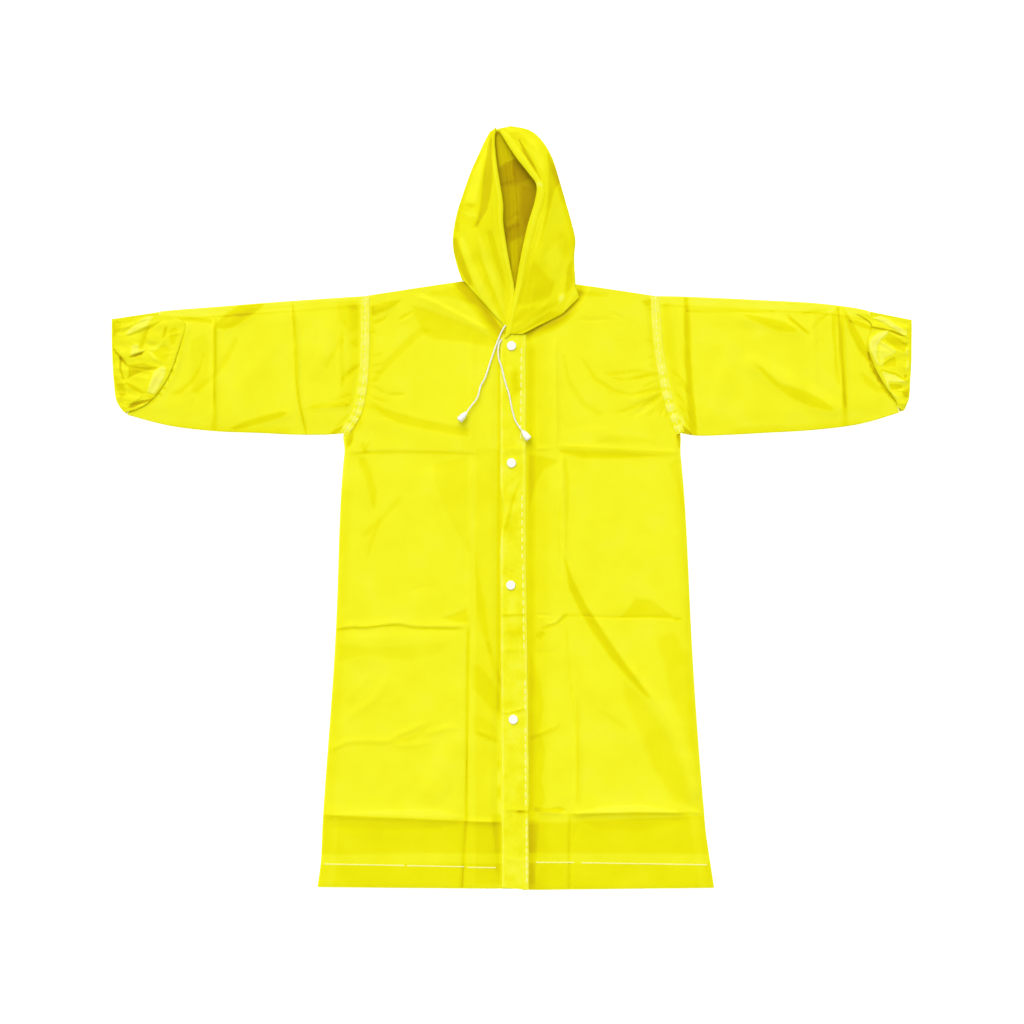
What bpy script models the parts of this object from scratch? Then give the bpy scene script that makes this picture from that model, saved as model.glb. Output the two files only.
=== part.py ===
"""A child's hooded raincoat of soft plastic sheet, snapped shut and laid flat on its back.

Millimetres in the tables, metres in the meshes. The coat lies in the XY plane with its hood
towards +Y and its front up, and z = 0 is the surface that it lies on. The origin is under the
middle of the whole coat. Left and right are as an onlooker sees them.

The layers, from the surface up: the back and the under sides of sleeves and hood; the two
fronts and the upper sides of the sleeves; the placket, the armhole strips and the hood's neck
edge, which lap over the fronts; the snaps and the drawcord.
"""

import math

import bpy
import bmesh
from mathutils import Vector

MM = 0.001

# Cloth
WALL = 1.0                      # thickness of every cloth wall
GAP = 0.3                       # clearance between walls that touch
LAYER = WALL + GAP              # rise from one layer to the next
UPPER = LAYER                   # underside of what lies on the back
LAPPED = 2.0 * LAYER            # underside of what lies on the fronts
SEAM_WIDTH = 12.4               # welded strip along an armhole
SEAM_BAND = 13.0                # flat band that the strip lies on
NECK_BAND = 14.0                # flat band that the hood's edge lies on
PLACKET_BAND_LEFT = 34.0        # flat band that the placket lies on, on each front
PLACKET_BAND_RIGHT = 14.0
PUFF = 1.3                      # how far the fronts stand off the back between folds
SLEEVE_EDGE = UPPER + WALL      # thickness of a sleeve pressed flat
CREASE_FADE = 8.0               # slanting creases end this steeply at a front's bands
SLEEVE_FADE = 6.0               # and a sleeve's puff at its edges

# Placket and snaps
PLACKET_HEM_Y = -531.5
PLACKET_TOP_Y = 243.0
PLACKET_LEFT = -15.5
PLACKET_RIGHT = 20.0
PLACKET_STEPS = 64
PLACKET_LEAN = 4.0              # the hem end of its right edge stands this much further out
PLACKET_LEFT_LEAN = 2.4
PLACKET_CURL = 3.5              # how far its left edge curls back between the second and third snaps
PLACKET_CURL_Y = -7.0
PLACKET_CURL_HALF_LENGTH = 26.0
PLACKET_SHARES = (0.0, 0.33, 0.67, 1.0)
PLACKET_CREASE_HALF_WIDTH = 11.0
PLACKET_CREASES = (             # name, y, height
    ("high_fold", 82.0, 0.9),
    ("mid_fold", -149.0, 1.0),
    ("over_last_snap", -276.5, 1.1),
    ("low_fold", -425.0, 1.2),
    ("hem_fold", -494.0, 0.9),
)
SNAP_RADIUS = 6.4
SNAP_HEIGHT = 2.1
SNAP_PLACES = ((0.0, 227.0), (0.0, 63.0), (-1.0, -108.0), (2.5, -296.0))

# Drawcord
CORD_RADIUS = 1.1
CORD_POINT_STEP = 5.5
END_LENGTH = 15.5
END_NARROW_RADIUS = 2.3
END_WIDE_RADIUS = 4.6

YELLOW = (0.92, 0.88, 0.01)
PALE_YELLOW = (0.95, 0.92, 0.12)
DEEP_YELLOW = (0.84, 0.78, 0.01)
WHITE = (0.86, 0.86, 0.84)

# Armholes, shoulder to armpit: x, y
ARMHOLE_LEFT = (
    (-205.0, 297.0),
    (-205.0, 267.0),
    (-205.0, 237.0),
    (-206.5, 191.0),
    (-210.0, 161.0),
    (-215.0, 138.0),
    (-222.0, 123.0),
    (-235.0, 104.5),
)
ARMHOLE_RIGHT = (
    (201.0, 297.0),
    (202.5, 270.0),
    (204.5, 240.0),
    (209.0, 205.0),
    (215.0, 173.0),
    (221.0, 146.0),
    (229.0, 126.0),
    (236.5, 105.0),
)

# Side seams, hem to armpit: name, x, y, ridge height of the fold there, steps to the next row
SIDE_LEFT = (
    ("hem", -272.0, -531.0, 0.0, 1),
    ("hem_weld", -267.5, -498.0, 0.0, 1),
    ("low_fold_foot", -264.8, -444.0, 0.2, 1),
    ("low_fold", -264.0, -430.0, 4.8, 1),
    ("low_fold_back", -262.8, -412.0, 0.8, 4),
    ("mid_fold_foot", -246.7, -181.0, 0.2, 1),
    ("mid_fold", -246.0, -167.0, 4.4, 1),
    ("mid_fold_back", -245.2, -150.0, 0.8, 4),
    ("high_fold_foot", -235.4, 65.0, 0.2, 1),
    ("high_fold", -234.0, 79.0, 4.2, 1),
)
SIDE_RIGHT = (
    ("hem", 284.0, -532.0, 0.0, 1),
    ("hem_weld", 279.0, -499.0, 0.0, 1),
    ("low_fold_foot", 271.0, -440.0, 0.2, 1),
    ("low_fold", 270.0, -426.0, 5.2, 1),
    ("low_fold_back", 268.4, -408.0, 0.8, 4),
    ("mid_fold_foot", 251.7, -169.0, 0.2, 1),
    ("mid_fold", 251.0, -155.0, 4.4, 1),
    ("mid_fold_back", 250.2, -138.0, 0.8, 4),
    ("high_fold_foot", 238.4, 62.0, 0.2, 1),
    ("high_fold", 237.0, 76.0, 4.6, 1),
)

# The other end of each row, on the front edge and then up the neckline: x, y
FRONT_EDGE_LEFT = (
    (15.0, -533.5), (15.0, -499.0), (15.0, -451.0), (15.0, -437.0), (15.0, -419.0),
    (15.0, -176.0), (15.0, -162.0), (15.0, -145.0), (15.0, 61.0), (15.0, 75.0),
)
NECKLINE_LEFT = (
    (-69.0, 317.7), (-33.0, 287.0), (-2.0, 255.0), (15.0, 231.0),
    (15.0, 200.0), (15.0, 168.0), (15.0, 135.0), (15.0, 100.0),
)
FRONT_EDGE_RIGHT = (
    (15.4, -535.0), (15.4, -499.0), (15.4, -434.0), (15.4, -420.0), (15.4, -402.0),
    (15.4, -164.0), (15.4, -150.0), (15.4, -133.0), (15.4, 68.0), (15.4, 82.0),
)
NECKLINE_RIGHT = (
    (89.5, 313.7), (78.0, 290.0), (52.0, 271.0), (15.4, 250.0),
    (15.4, 205.0), (15.4, 170.0), (15.4, 136.0), (15.4, 104.0),
)

# Columns of a front, from its seam band to its front band:
# name, share of the way, share of puff and cross folds, height of the long fold
FRONT_COLUMNS = (
    ("seam", 0.00, 0.0, 0.0),
    ("side", 0.10, 0.8, 0.0),
    ("outer", 0.22, 1.0, 0.0),
    ("half_out", 0.34, 1.0, 0.0),
    ("middle", 0.46, 1.0, 0.0),
    ("half_in", 0.58, 1.0, 0.0),
    ("fold_foot", 0.73, 0.8, 0.3),
    ("fold", 0.79, 0.8, 3.2),
    ("fold_back", 0.85, 0.6, 0.3),
    ("band", 1.00, 0.0, 0.0),
)

# Slanting creases: name, x and y of both ends, height, half width
CREASES_LEFT = (
    ("armpit", -196.0, 146.0, -60.0, 110.0, 2.4, 26.0),
    ("shoulder", -131.0, 294.0, -62.0, 258.0, 2.0, 24.0),
    ("placket_bow", -52.0, -110.0, -20.0, -240.0, 1.8, 20.0),
)
CREASES_RIGHT = (
    ("armpit", 200.0, 160.0, 110.0, 176.0, 2.4, 26.0),
    ("chest", 200.0, 196.0, 130.0, 214.0, 1.8, 22.0),
    ("thigh_high", 75.0, -84.0, 110.0, -162.0, 2.6, 26.0),
    ("thigh_mid", 110.0, -162.0, 191.0, -252.0, 3.0, 28.0),
    ("thigh_low", 191.0, -252.0, 258.0, -390.0, 2.4, 26.0),
)

# Sleeve sections, armhole to cuff: name, x and y of the top edge, x and y of the bottom edge,
# share of the armhole's curve, height of the upper side
SLEEVE_LEFT = (
    ("seam", -205.35, 297.0, -235.35, 104.5, 1.0, 0.0),
    ("band", -218.4, 296.3, -248.4, 103.4, 1.0, 0.0),
    ("head", -240.0, 294.8, -262.0, 102.6, 0.6, 1.0),
    ("upper_arm", -270.0, 292.8, -280.0, 102.4, 0.2, 0.9),
    ("elbow_fold", -294.0, 291.2, -304.0, 102.7, 0.0, 3.4),
    ("elbow", -312.0, 290.0, -320.0, 103.6, 0.0, 1.0),
    ("forearm", -352.0, 287.0, -352.0, 105.0, 0.0, 1.7),
    ("forearm_low", -398.0, 283.0, -398.0, 106.8, 0.0, 1.0),
    ("wrist_fold", -416.0, 281.8, -416.0, 107.6, 0.0, 3.3),
    ("wrist", -434.0, 280.5, -434.0, 109.4, 0.0, 1.0),
    ("under_cuff", -462.0, 278.4, -480.0, 115.4, 0.0, 0.7),
    ("end", -492.0, 275.6, -538.0, 130.4, 0.0, 0.6),
)
SLEEVE_RIGHT = (
    ("seam", 201.35, 297.0, 236.85, 105.0, 1.0, 0.0),
    ("band", 214.4, 296.8, 249.9, 102.0, 1.0, 0.0),
    ("head", 238.0, 296.4, 262.0, 101.2, 0.6, 3.2),
    ("upper_arm", 268.0, 295.4, 282.0, 101.4, 0.2, 0.9),
    ("elbow_high", 305.0, 293.6, 309.0, 102.6, 0.0, 1.4),
    ("elbow_fold", 340.0, 291.8, 340.0, 104.0, 0.0, 2.8),
    ("elbow", 366.0, 290.4, 366.0, 106.0, 0.0, 1.0),
    ("forearm", 400.0, 288.6, 400.0, 107.6, 0.0, 1.2),
    ("wrist_fold_high", 423.0, 287.4, 423.0, 109.2, 0.0, 3.2),
    ("wrist_hollow", 440.0, 285.6, 442.0, 111.0, 0.0, 1.0),
    ("wrist_fold", 458.0, 283.4, 464.0, 113.6, 0.0, 3.3),
    ("under_cuff", 476.0, 281.2, 488.0, 117.6, 0.0, 0.7),
    ("end", 500.0, 276.4, 543.0, 133.6, 0.0, 0.6),
)

# A cuff, top edge to bottom edge: name, x and y of the outer fold, x and y of the rim that
# lies back over the sleeve, height of the rim
CUFF_LEFT = (
    ("top", -560.0, 265.0, -484.0, 270.0, 4.9),
    ("flap", -560.2, 250.0, -458.0, 258.0, 5.6),
    ("upper", -560.0, 228.0, -466.0, 224.0, 6.4),
    ("middle", -559.0, 202.0, -480.0, 186.0, 6.6),
    ("lower", -557.0, 174.0, -498.0, 158.0, 6.2),
    ("corner", -553.5, 150.0, -514.0, 144.0, 5.4),
    ("bottom", -543.0, 134.0, -528.0, 137.5, 4.9),
)
CUFF_RIGHT = (
    ("top", 560.6, 264.0, 484.0, 272.0, 4.9),
    ("flap", 560.8, 250.0, 505.0, 256.0, 5.6),
    ("upper", 560.6, 230.0, 499.0, 230.0, 6.4),
    ("middle", 560.2, 204.0, 508.0, 200.0, 6.6),
    ("lower", 558.6, 176.0, 523.0, 172.0, 6.2),
    ("corner", 557.0, 154.0, 538.0, 151.0, 5.4),
    ("bottom", 550.0, 136.4, 541.0, 141.0, 4.9),
)
CUFF_GATHERS = 8                # elastic gathers along each cuff
CUFF_STEPS_PER_GATHER = 4
GATHER_HEIGHT = 0.75
CUFF_FOLD_HEIGHT = 3.4          # thickness of a cuff at its outer fold
CUFF_FOLD_ROUND = 1.2           # how far in from the fold its walls are flat
CUFF_RIM_LEVEL = 5.0            # a rim above this lifts the cuff towards it
# Across a cuff's upper side, fold to rim: share of the way, height, share of the gathers
CUFF_COLUMNS = (
    (0.12, 4.3, 1.0),
    (0.30, 4.9, 1.0),
    (0.55, 5.3, 1.0),
    (0.80, 5.4, 0.6),
)
CUFF_INNER_LEFT = ((-492.7, 275.0), (-538.9, 131.6))
CUFF_INNER_RIGHT = ((500.7, 275.8), (543.9, 134.8))

# The hood's centre seam, neck to crown: x, y
HOOD_SEAM = (
    (5.0, 304.4), (5.0, 319.0), (5.0, 336.0), (4.5, 357.0), (4.0, 383.0), (3.0, 409.0),
    (1.5, 437.0), (-1.0, 465.0), (-4.0, 492.0), (-9.5, 514.0), (-17.5, 532.0),
)

# Each half of the hood, neck to crown: name, x and y of the side fold, x and y of the face
# edge, height of the face edge, how far the middle of the half stands up
HOOD_LEFT = (
    ("neck", -69.0, 318.4, -5.0, 250.0, 3.9, 0.6),
    ("collar", -76.0, 338.0, 0.5, 272.0, 3.9, 2.6),
    ("chin", -82.0, 365.0, 4.0, 303.0, 3.9, 3.6),
    ("jaw", -81.5, 387.0, -5.0, 352.0, 7.6, 3.6),
    ("cheek", -76.0, 415.0, -12.0, 397.0, 10.0, 2.6),
    ("temple", -68.0, 440.0, -12.5, 426.0, 11.0, 1.6),
    ("brow", -57.0, 471.0, -17.5, 458.0, 11.0, 1.2),
    ("forehead", -50.0, 487.0, -21.0, 480.0, 10.0, 1.0),
    ("top", -44.0, 500.0, -23.0, 498.0, 8.0, 0.8),
    ("peak", -37.5, 514.0, -24.0, 515.0, 6.4, 0.4),
    ("crown", -30.5, 527.0, -21.5, 533.0, 4.8, 0.2),
)
HOOD_RIGHT = (
    ("neck", 90.0, 314.4, -9.0, 237.5, 5.6, 0.6),
    ("collar", 88.5, 334.0, -5.0, 260.0, 5.6, 2.4),
    ("chin", 88.0, 354.0, 5.0, 303.0, 5.8, 3.6),
    ("jaw", 89.5, 376.0, 13.0, 349.0, 8.6, 3.6),
    ("cheek", 84.0, 401.0, 23.0, 394.0, 11.0, 2.6),
    ("temple", 76.0, 429.0, 33.5, 429.0, 12.5, 1.6),
    ("brow", 67.0, 460.0, 35.5, 451.0, 13.0, 1.2),
    ("forehead", 57.0, 491.0, 26.0, 466.0, 12.0, 1.4),
    ("top", 43.0, 514.5, 6.5, 491.0, 10.5, 1.4),
    ("peak", 25.0, 529.5, -7.0, 512.0, 8.0, 0.8),
    ("crown", -1.0, 535.0, -17.0, 528.5, 5.4, 0.2),
)
HOOD_BAND = 12.0                # drawcord channel along the face edge
HOOD_BAND_MOST = 0.35           # but no more than this share of the half's width
HOOD_FOLD_HEIGHT = 4.0          # thickness of the hood at its side folds
HOOD_FOLD_ROUND = 1.4           # how far in from a side fold its walls are flat
HOOD_UNDER_STEPS = 4
HOOD_OVER_SHARES = (0.0, 0.12, 0.3, 0.5, 0.7, 0.88, 1.0)
# The right half's neck edge where it laps over the front, shoulder to face edge: x, y
NECK_LAP_RIGHT = ((96.0, 295.0), (73.0, 272.0), (45.0, 258.5), (31.0, 251.5), (17.0, 244.5))

# Free ends of the drawcord, exit to tip: x, y, z
CORD_LEFT_ROUTE = (
    (-8.0, 256.0, 5.7), (-14.0, 246.5, 5.8), (-19.2, 233.5, 5.6), (-24.0, 221.0, 5.9),
    (-31.0, 200.0, 6.6), (-37.0, 182.0, 7.0), (-43.0, 171.0, 7.3), (-47.5, 155.0, 7.8),
    (-56.0, 143.0, 8.6), (-62.5, 134.0, 9.5),
)
CORD_RIGHT_ROUTE = (
    (-13.8, 236.4, 5.0), (-17.4, 229.5, 5.3), (-18.8, 219.0, 5.4), (-17.5, 208.0, 5.8),
    (-13.0, 194.0, 6.0), (-9.0, 177.0, 5.8), (-3.5, 159.5, 5.7), (0.0, 141.5, 5.7),
    (4.5, 125.0, 5.8), (10.0, 114.5, 6.3), (14.5, 108.5, 6.9),
)
CORD_TURN_LEFT = (-11.0, -12.0, 2.6)    # way that each cord end points
CORD_TURN_RIGHT = (10.5, -13.0, 2.5)


# ---------------------------------------------------------------- helpers

def start_scene():
    """Empty the scene and give it the coat's collection."""
    for old in list(bpy.data.objects):
        bpy.data.objects.remove(old, do_unlink=True)
    coat = bpy.data.collections.new("hooded_raincoat")
    bpy.context.scene.collection.children.link(coat)
    return coat


def plain_material(name, colour, roughness):
    material = bpy.data.materials.new(name)
    material.use_nodes = True
    shader = material.node_tree.nodes["Principled BSDF"]
    shader.inputs["Base Color"].default_value = (*colour, 1.0)
    shader.inputs["Roughness"].default_value = roughness
    shader.inputs["Metallic"].default_value = 0.0
    return material


def keep(piece, name, material, coat):
    """Name a new piece, give it its material and move it to the coat's collection."""
    piece.name = name
    piece.data.name = name
    piece.data.materials.clear()
    piece.data.materials.append(material)
    for other in list(piece.users_collection):
        other.objects.unlink(piece)
    coat.objects.link(piece)
    return piece


def blend(a, b, share):
    """The point that lies at a share of the way from a to b."""
    return tuple(p + (q - p) * share for p, q in zip(a, b))


def ease(share):
    """0 to 1 with soft ends."""
    share = min(1.0, max(0.0, share))
    return share * share * (3.0 - 2.0 * share)


def curve_through(points, position):
    """A smooth curve through the points, read at a position counted in points."""
    last = len(points) - 1
    start = min(int(position), last - 1)
    t = position - start
    before = points[max(start - 1, 0)]
    a, b = points[start], points[start + 1]
    after = points[min(start + 2, last)]
    found = []
    for p0, p1, p2, p3 in zip(before, a, b, after):
        bend = 2.0 * p0 - 5.0 * p1 + 4.0 * p2 - p3
        found.append(0.5 * (2.0 * p1 + (p2 - p0) * t + bend * t ** 2
                            + (3.0 * p1 - p0 - 3.0 * p2 + p3) * t ** 3))
    return tuple(found)


def steps_through(points, steps):
    """Rows on a smooth curve through the points, with steps from one point to the next."""
    count = (len(points) - 1) * steps
    return [curve_through(points, k / steps) for k in range(count + 1)]


def distance_to_line(x, y, x0, y0, x1, y1):
    """Distance from a place to the nearest point of a straight stretch."""
    dx, dy = x1 - x0, y1 - y0
    share = ((x - x0) * dx + (y - y0) * dy) / (dx * dx + dy * dy)
    share = min(1.0, max(0.0, share))
    return math.hypot(x - x0 - share * dx, y - y0 - share * dy)


def creases_at(x, y, creases):
    """Height that the slanting creases add at a place."""
    height = 0.0
    for _name, x0, y0, x1, y1, rise, half_width in creases:
        off = distance_to_line(x, y, x0, y0, x1, y1) / half_width
        height = max(height, rise * (1.0 - ease(off)))
    return height


def wall(name, rows, material, coat, offset):
    """A cloth wall on rows of points. Offset 1 puts the thickness on the side that faces out."""
    across, along = len(rows[0]), len(rows)
    bpy.ops.mesh.primitive_grid_add(x_subdivisions=across - 1, y_subdivisions=along - 1, size=1.0)
    sheet = bpy.context.object
    for index, vertex in enumerate(sheet.data.vertices):
        vertex.co = Vector(rows[index // across][index % across]) * MM
    solidify = sheet.modifiers.new("thickness", "SOLIDIFY")
    solidify.thickness = WALL * MM
    solidify.offset = offset
    sheet.data.shade_smooth()
    sheet.data.set_sharp_from_angle(angle=math.radians(50.0))
    return keep(sheet, name, material, coat)


def tube_wall(name, rings, material, coat):
    """A cloth tube open at both ends: a loft between unlike rings, thickened inwards."""
    mesh = bpy.data.meshes.new(name)
    tube = bpy.data.objects.new(name, mesh)
    shape = bmesh.new()
    loops = [[shape.verts.new(Vector(point) * MM) for point in ring] for ring in rings]
    for first, second in zip(loops, loops[1:]):
        for i, corner in enumerate(first):
            following = (i + 1) % len(first)
            shape.faces.new((corner, first[following], second[following], second[i]))
    shape.to_mesh(mesh)
    shape.free()
    solidify = tube.modifiers.new("thickness", "SOLIDIFY")
    solidify.thickness = WALL * MM
    solidify.offset = -1.0
    mesh.shade_smooth()
    mesh.set_sharp_from_angle(angle=math.radians(50.0))
    return keep(tube, name, material, coat)


# ---------------------------------------------------------------- body

def front_rows(side, front_edge, neckline, armhole, creases, placket_band):
    """Rows of a front's underside, hem to shoulder, each from its side seam to its edge."""
    ends = []
    for (_name, x, y, ridge, steps), edge in zip(side, front_edge):
        ends.append(((x, y), edge, ridge, steps))
    for hole, edge in zip(reversed(armhole), reversed(neckline)):
        ends.append((hole, edge, 0.5, 1))
    edge_x = front_edge[0][0]
    rows = []
    for here, after in zip(ends, ends[1:] + ends[-1:]):
        steps = here[3] if here is not after else 1
        for k in range(steps):
            share = k / steps
            outer = blend(here[0], after[0], share)
            edge = blend(here[1], after[1], share)
            ridge = here[2] + (after[2] - here[2]) * ease(share)
            band = placket_band if edge[0] == edge_x else NECK_BAND
            rows.append(front_row(outer, edge, ridge, creases, band))
    return rows


def front_row(outer, edge, ridge, creases, flat_band):
    """One row: a flat seam band, the puffed cloth with its folds, a flat front band."""
    width = abs(edge[0] - outer[0])
    seam = blend(outer, edge, SEAM_BAND / width)
    band = blend(edge, outer, flat_band / width)
    row = [(*outer, UPPER)]
    for _name, share, body, fold in FRONT_COLUMNS:
        x, y = blend(seam, band, share)
        inside = ease(CREASE_FADE * min(share, 1.0 - share))
        height = body * (PUFF + ridge) + fold + inside * creases_at(x, y, creases)
        row.append((x, y, UPPER + height))
    row.append((*edge, UPPER))
    return row


def make_fronts(material, coat):
    left = front_rows(SIDE_LEFT, FRONT_EDGE_LEFT, NECKLINE_LEFT, ARMHOLE_LEFT, CREASES_LEFT,
                      PLACKET_BAND_LEFT)
    wall("front_left", left, material, coat, 1.0)
    right = front_rows(SIDE_RIGHT, FRONT_EDGE_RIGHT, NECKLINE_RIGHT, ARMHOLE_RIGHT,
                       CREASES_RIGHT, PLACKET_BAND_RIGHT)
    wall("front_right", [row[::-1] for row in right], material, coat, 1.0)


def make_back(material, coat):
    """The back: one flat panel under both fronts, its top edge the shoulders and the neck."""
    shares = (0.0, 0.17, 0.34, 0.52, 0.7, 0.85, 1.0)
    neck_left = NECKLINE_LEFT[0]
    neck_right = NECKLINE_RIGHT[0]
    neck_middle = (HOOD_SEAM[0][0], HOOD_SEAM[0][1] - 1.5 * GAP)
    left = [(x, y) for _n, x, y, _r, _s in SIDE_LEFT] + list(reversed(ARMHOLE_LEFT))
    right = [(x, y) for _n, x, y, _r, _s in SIDE_RIGHT] + list(reversed(ARMHOLE_RIGHT))
    rows = [[(*blend(a, b, share), 0.0) for share in shares] for a, b in zip(left, right)]
    top = (left[-1], blend(left[-1], neck_left, 0.5), neck_left, neck_middle, neck_right,
           blend(neck_right, right[-1], 0.5), right[-1])
    rows[-1] = [(x, y, 0.0) for x, y in top]
    wall("back_panel", rows, material, coat, 1.0)


def placket_ripple(y):
    """Small cross creases of the doubled front edge."""
    height = 0.0
    for _name, crease_y, rise in PLACKET_CREASES:
        height = max(height, rise * (1.0 - ease(abs(y - crease_y) / PLACKET_CREASE_HALF_WIDTH)))
    return height


def make_placket(material, coat):
    """The placket: the snapped strip that closes the fronts, on both of them."""
    rows = []
    for k in range(PLACKET_STEPS + 1):
        y = PLACKET_HEM_Y + (PLACKET_TOP_Y - PLACKET_HEM_Y) * k / PLACKET_STEPS
        lean = ease(y / (PLACKET_HEM_Y + 110.0))
        curl = PLACKET_CURL * math.exp(-((y - PLACKET_CURL_Y) / PLACKET_CURL_HALF_LENGTH) ** 2)
        left = PLACKET_LEFT + curl + PLACKET_LEFT_LEAN * lean
        right = PLACKET_RIGHT + PLACKET_LEAN * lean
        height = LAPPED + placket_ripple(y)
        rows.append([(left + (right - left) * share, y, height) for share in PLACKET_SHARES])
    wall("placket", rows, material, coat, 1.0)


def make_armhole_strip(name, armhole, outward, material, coat):
    """The welded strip over an armhole's joint, flat on the front's band and the sleeve's."""
    places = [Vector(p) for p in armhole]
    rows = []
    for i, place in enumerate(places):
        along = (places[min(i + 1, len(places) - 1)] - places[max(i - 1, 0)]).normalized()
        normal = Vector((-along.y, along.x)) * outward
        inner = place - normal * SEAM_WIDTH / 2
        outer = place + normal * SEAM_WIDTH / 2
        rows.append([(*inner, LAPPED), (*place, LAPPED), (*outer, LAPPED)])
    rows[0] = [(x, places[0].y - 2.0 * GAP, z) for x, _y, z in rows[0]]
    if outward > 0:
        rows = rows[::-1]
    wall(name, rows, material, coat, 1.0)


# ---------------------------------------------------------------- sleeves

def sleeve_rings(sections, armhole):
    """Flattened rings of a sleeve: its under side flat, its upper side puffed."""
    top, bottom = armhole[0], armhole[-1]
    fall = [(top[1] - y) / (top[1] - bottom[1]) for _x, y in armhole]
    bow = [x - (top[0] + (bottom[0] - top[0]) * share) for (x, _y), share in zip(armhole, fall)]
    rings = []
    for _name, top_x, top_y, bottom_x, bottom_y, curve, puff in sections:
        side = []
        for share, off in zip(fall, bow):
            x, y = blend((top_x, top_y), (bottom_x, bottom_y), share)
            side.append((x + curve * off, y, share))
        inset = 0.55 * SLEEVE_EDGE
        upper, under = [], []
        for i, (x, y, share) in enumerate(side):
            pull = inset if i == 0 else -inset if i == len(side) - 1 else 0.0
            body = ease(SLEEVE_FADE * min(share, 1.0 - share))
            upper.append((x, y - pull, SLEEVE_EDGE + puff * body))
            under.append((x, y - pull, 0.0))
        first_edge = (side[0][0], side[0][1], SLEEVE_EDGE / 2)
        last_edge = (side[-1][0], side[-1][1], SLEEVE_EDGE / 2)
        rings.append([first_edge] + upper + [last_edge] + under[::-1])
    return rings


def make_sleeve(name, sections, armhole, outward, material, coat):
    rings = sleeve_rings(sections, armhole)
    if outward < 0:
        rings = [ring[::-1] for ring in rings]
    tube_wall(name, rings, material, coat)


def make_cuff(name, table, inner_edge, outward, material, coat):
    """The elastic end of a sleeve, gathered and lying back over it."""
    places = [(fx, fy, rx, ry, rz) for _name, fx, fy, rx, ry, rz in table]
    count = CUFF_GATHERS * CUFF_STEPS_PER_GATHER
    rows = []
    for k in range(count + 1):
        share = k / count
        fx, fy, rx, ry, rz = curve_through(places, share * (len(places) - 1))
        inner = blend(inner_edge[0], inner_edge[1], share)
        wave = GATHER_HEIGHT * math.sin(2.0 * math.pi * CUFF_GATHERS * share)
        wave *= ease(SLEEVE_FADE * min(share, 1.0 - share))
        near = (fx - outward * CUFF_FOLD_ROUND, fy)
        row = [(*inner, 0.0), (*blend(inner, near, 0.5), 0.0), (*near, 0.0)]
        row.append((fx, fy, CUFF_FOLD_HEIGHT / 2))
        row.append((*near, CUFF_FOLD_HEIGHT))
        for step, level, gathered in CUFF_COLUMNS:
            height = level + (rz - CUFF_RIM_LEVEL) * step + wave * gathered
            row.append((*blend(near, (rx, ry), step), max(height, CUFF_FOLD_HEIGHT)))
        row.append((rx, ry, rz + 0.3 * wave))
        rows.append(row)
    if outward < 0:
        rows = rows[::-1]
    wall(name, rows, material, coat, -1.0)


# ---------------------------------------------------------------- hood

def hood_rows(table, seam_side, neck_lap):
    """Rows of one half of the hood, neck to crown: under side, side fold, upper side."""
    halves = [(*seam, fx, fy, lx, ly, lz, bulge)
              for seam, (_name, fx, fy, lx, ly, lz, bulge) in zip(HOOD_SEAM, table)]
    smooth = steps_through(halves, 2)
    rows = []
    for sx, sy, fx, fy, lx, ly, lz, bulge in smooth:
        seam = (sx + seam_side * GAP / 2, sy)
        fold = (fx, fy)
        lip = (lx, ly)
        near = blend(fold, seam, HOOD_FOLD_ROUND / math.dist(fold, seam))
        row = [(*blend(seam, near, k / HOOD_UNDER_STEPS), 0.0) for k in range(HOOD_UNDER_STEPS + 1)]
        row.append((*fold, HOOD_FOLD_HEIGHT / 2))
        start = blend(fold, lip, HOOD_FOLD_ROUND / math.dist(fold, lip))
        band = blend(lip, start, min(HOOD_BAND / math.dist(start, lip), HOOD_BAND_MOST))
        for share in HOOD_OVER_SHARES:
            rise = (lz - HOOD_FOLD_HEIGHT) * ease(share) + bulge * math.sin(math.pi * share)
            row.append((*blend(start, band, share), HOOD_FOLD_HEIGHT + rise))
        row.append((*lip, lz))
        rows.append(row)
    first = HOOD_UNDER_STEPS + 3
    for column, place in enumerate(neck_lap, start=first):
        rows[0][column] = (*place, rows[0][column][2])
    return rows


def make_hood(material, coat):
    left = hood_rows(HOOD_LEFT, -1.0, ())
    wall("hood_left", left, material, coat, -1.0)
    right = hood_rows(HOOD_RIGHT, 1.0, NECK_LAP_RIGHT)
    wall("hood_right", [row[::-1] for row in right], material, coat, -1.0)


# ---------------------------------------------------------------- snaps and drawcord

def turned(name, profile, steps, place, tilt, material, coat):
    """A solid turned from a profile of radius and height, closed on its axis."""
    mesh = bpy.data.meshes.new(name)
    shape = bmesh.new()
    corners = [shape.verts.new((radius * MM, 0.0, height * MM)) for radius, height in profile]
    for a, b in zip(corners, corners[1:]):
        shape.edges.new((a, b))
    shape.to_mesh(mesh)
    shape.free()
    piece = bpy.data.objects.new(name, mesh)
    screw = piece.modifiers.new("turn", "SCREW")
    screw.steps = steps
    screw.render_steps = steps
    screw.use_merge_vertices = True
    screw.merge_threshold = 0.00001
    piece.location = Vector(place) * MM
    piece.rotation_mode = "QUATERNION"
    piece.rotation_quaternion = Vector(tilt).to_track_quat("Z", "Y")
    return keep(piece, name, material, coat)


def make_snaps(material, coat):
    """Snap caps: shallow turned discs with a rounded rim and a dished middle."""
    base = LAPPED + WALL + GAP
    profile = ((0.0, SNAP_HEIGHT - 0.4), (3.4, SNAP_HEIGHT - 0.3), (4.4, SNAP_HEIGHT),
               (5.6, SNAP_HEIGHT - 0.15), (SNAP_RADIUS, 1.0), (SNAP_RADIUS - 0.2, 0.0), (0.0, 0.0))
    for number, (x, y) in enumerate(SNAP_PLACES, start=1):
        turned(f"snap_{number}", profile, 20, (x, y, base), (0.0, 0.0, 1.0), material, coat)


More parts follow.
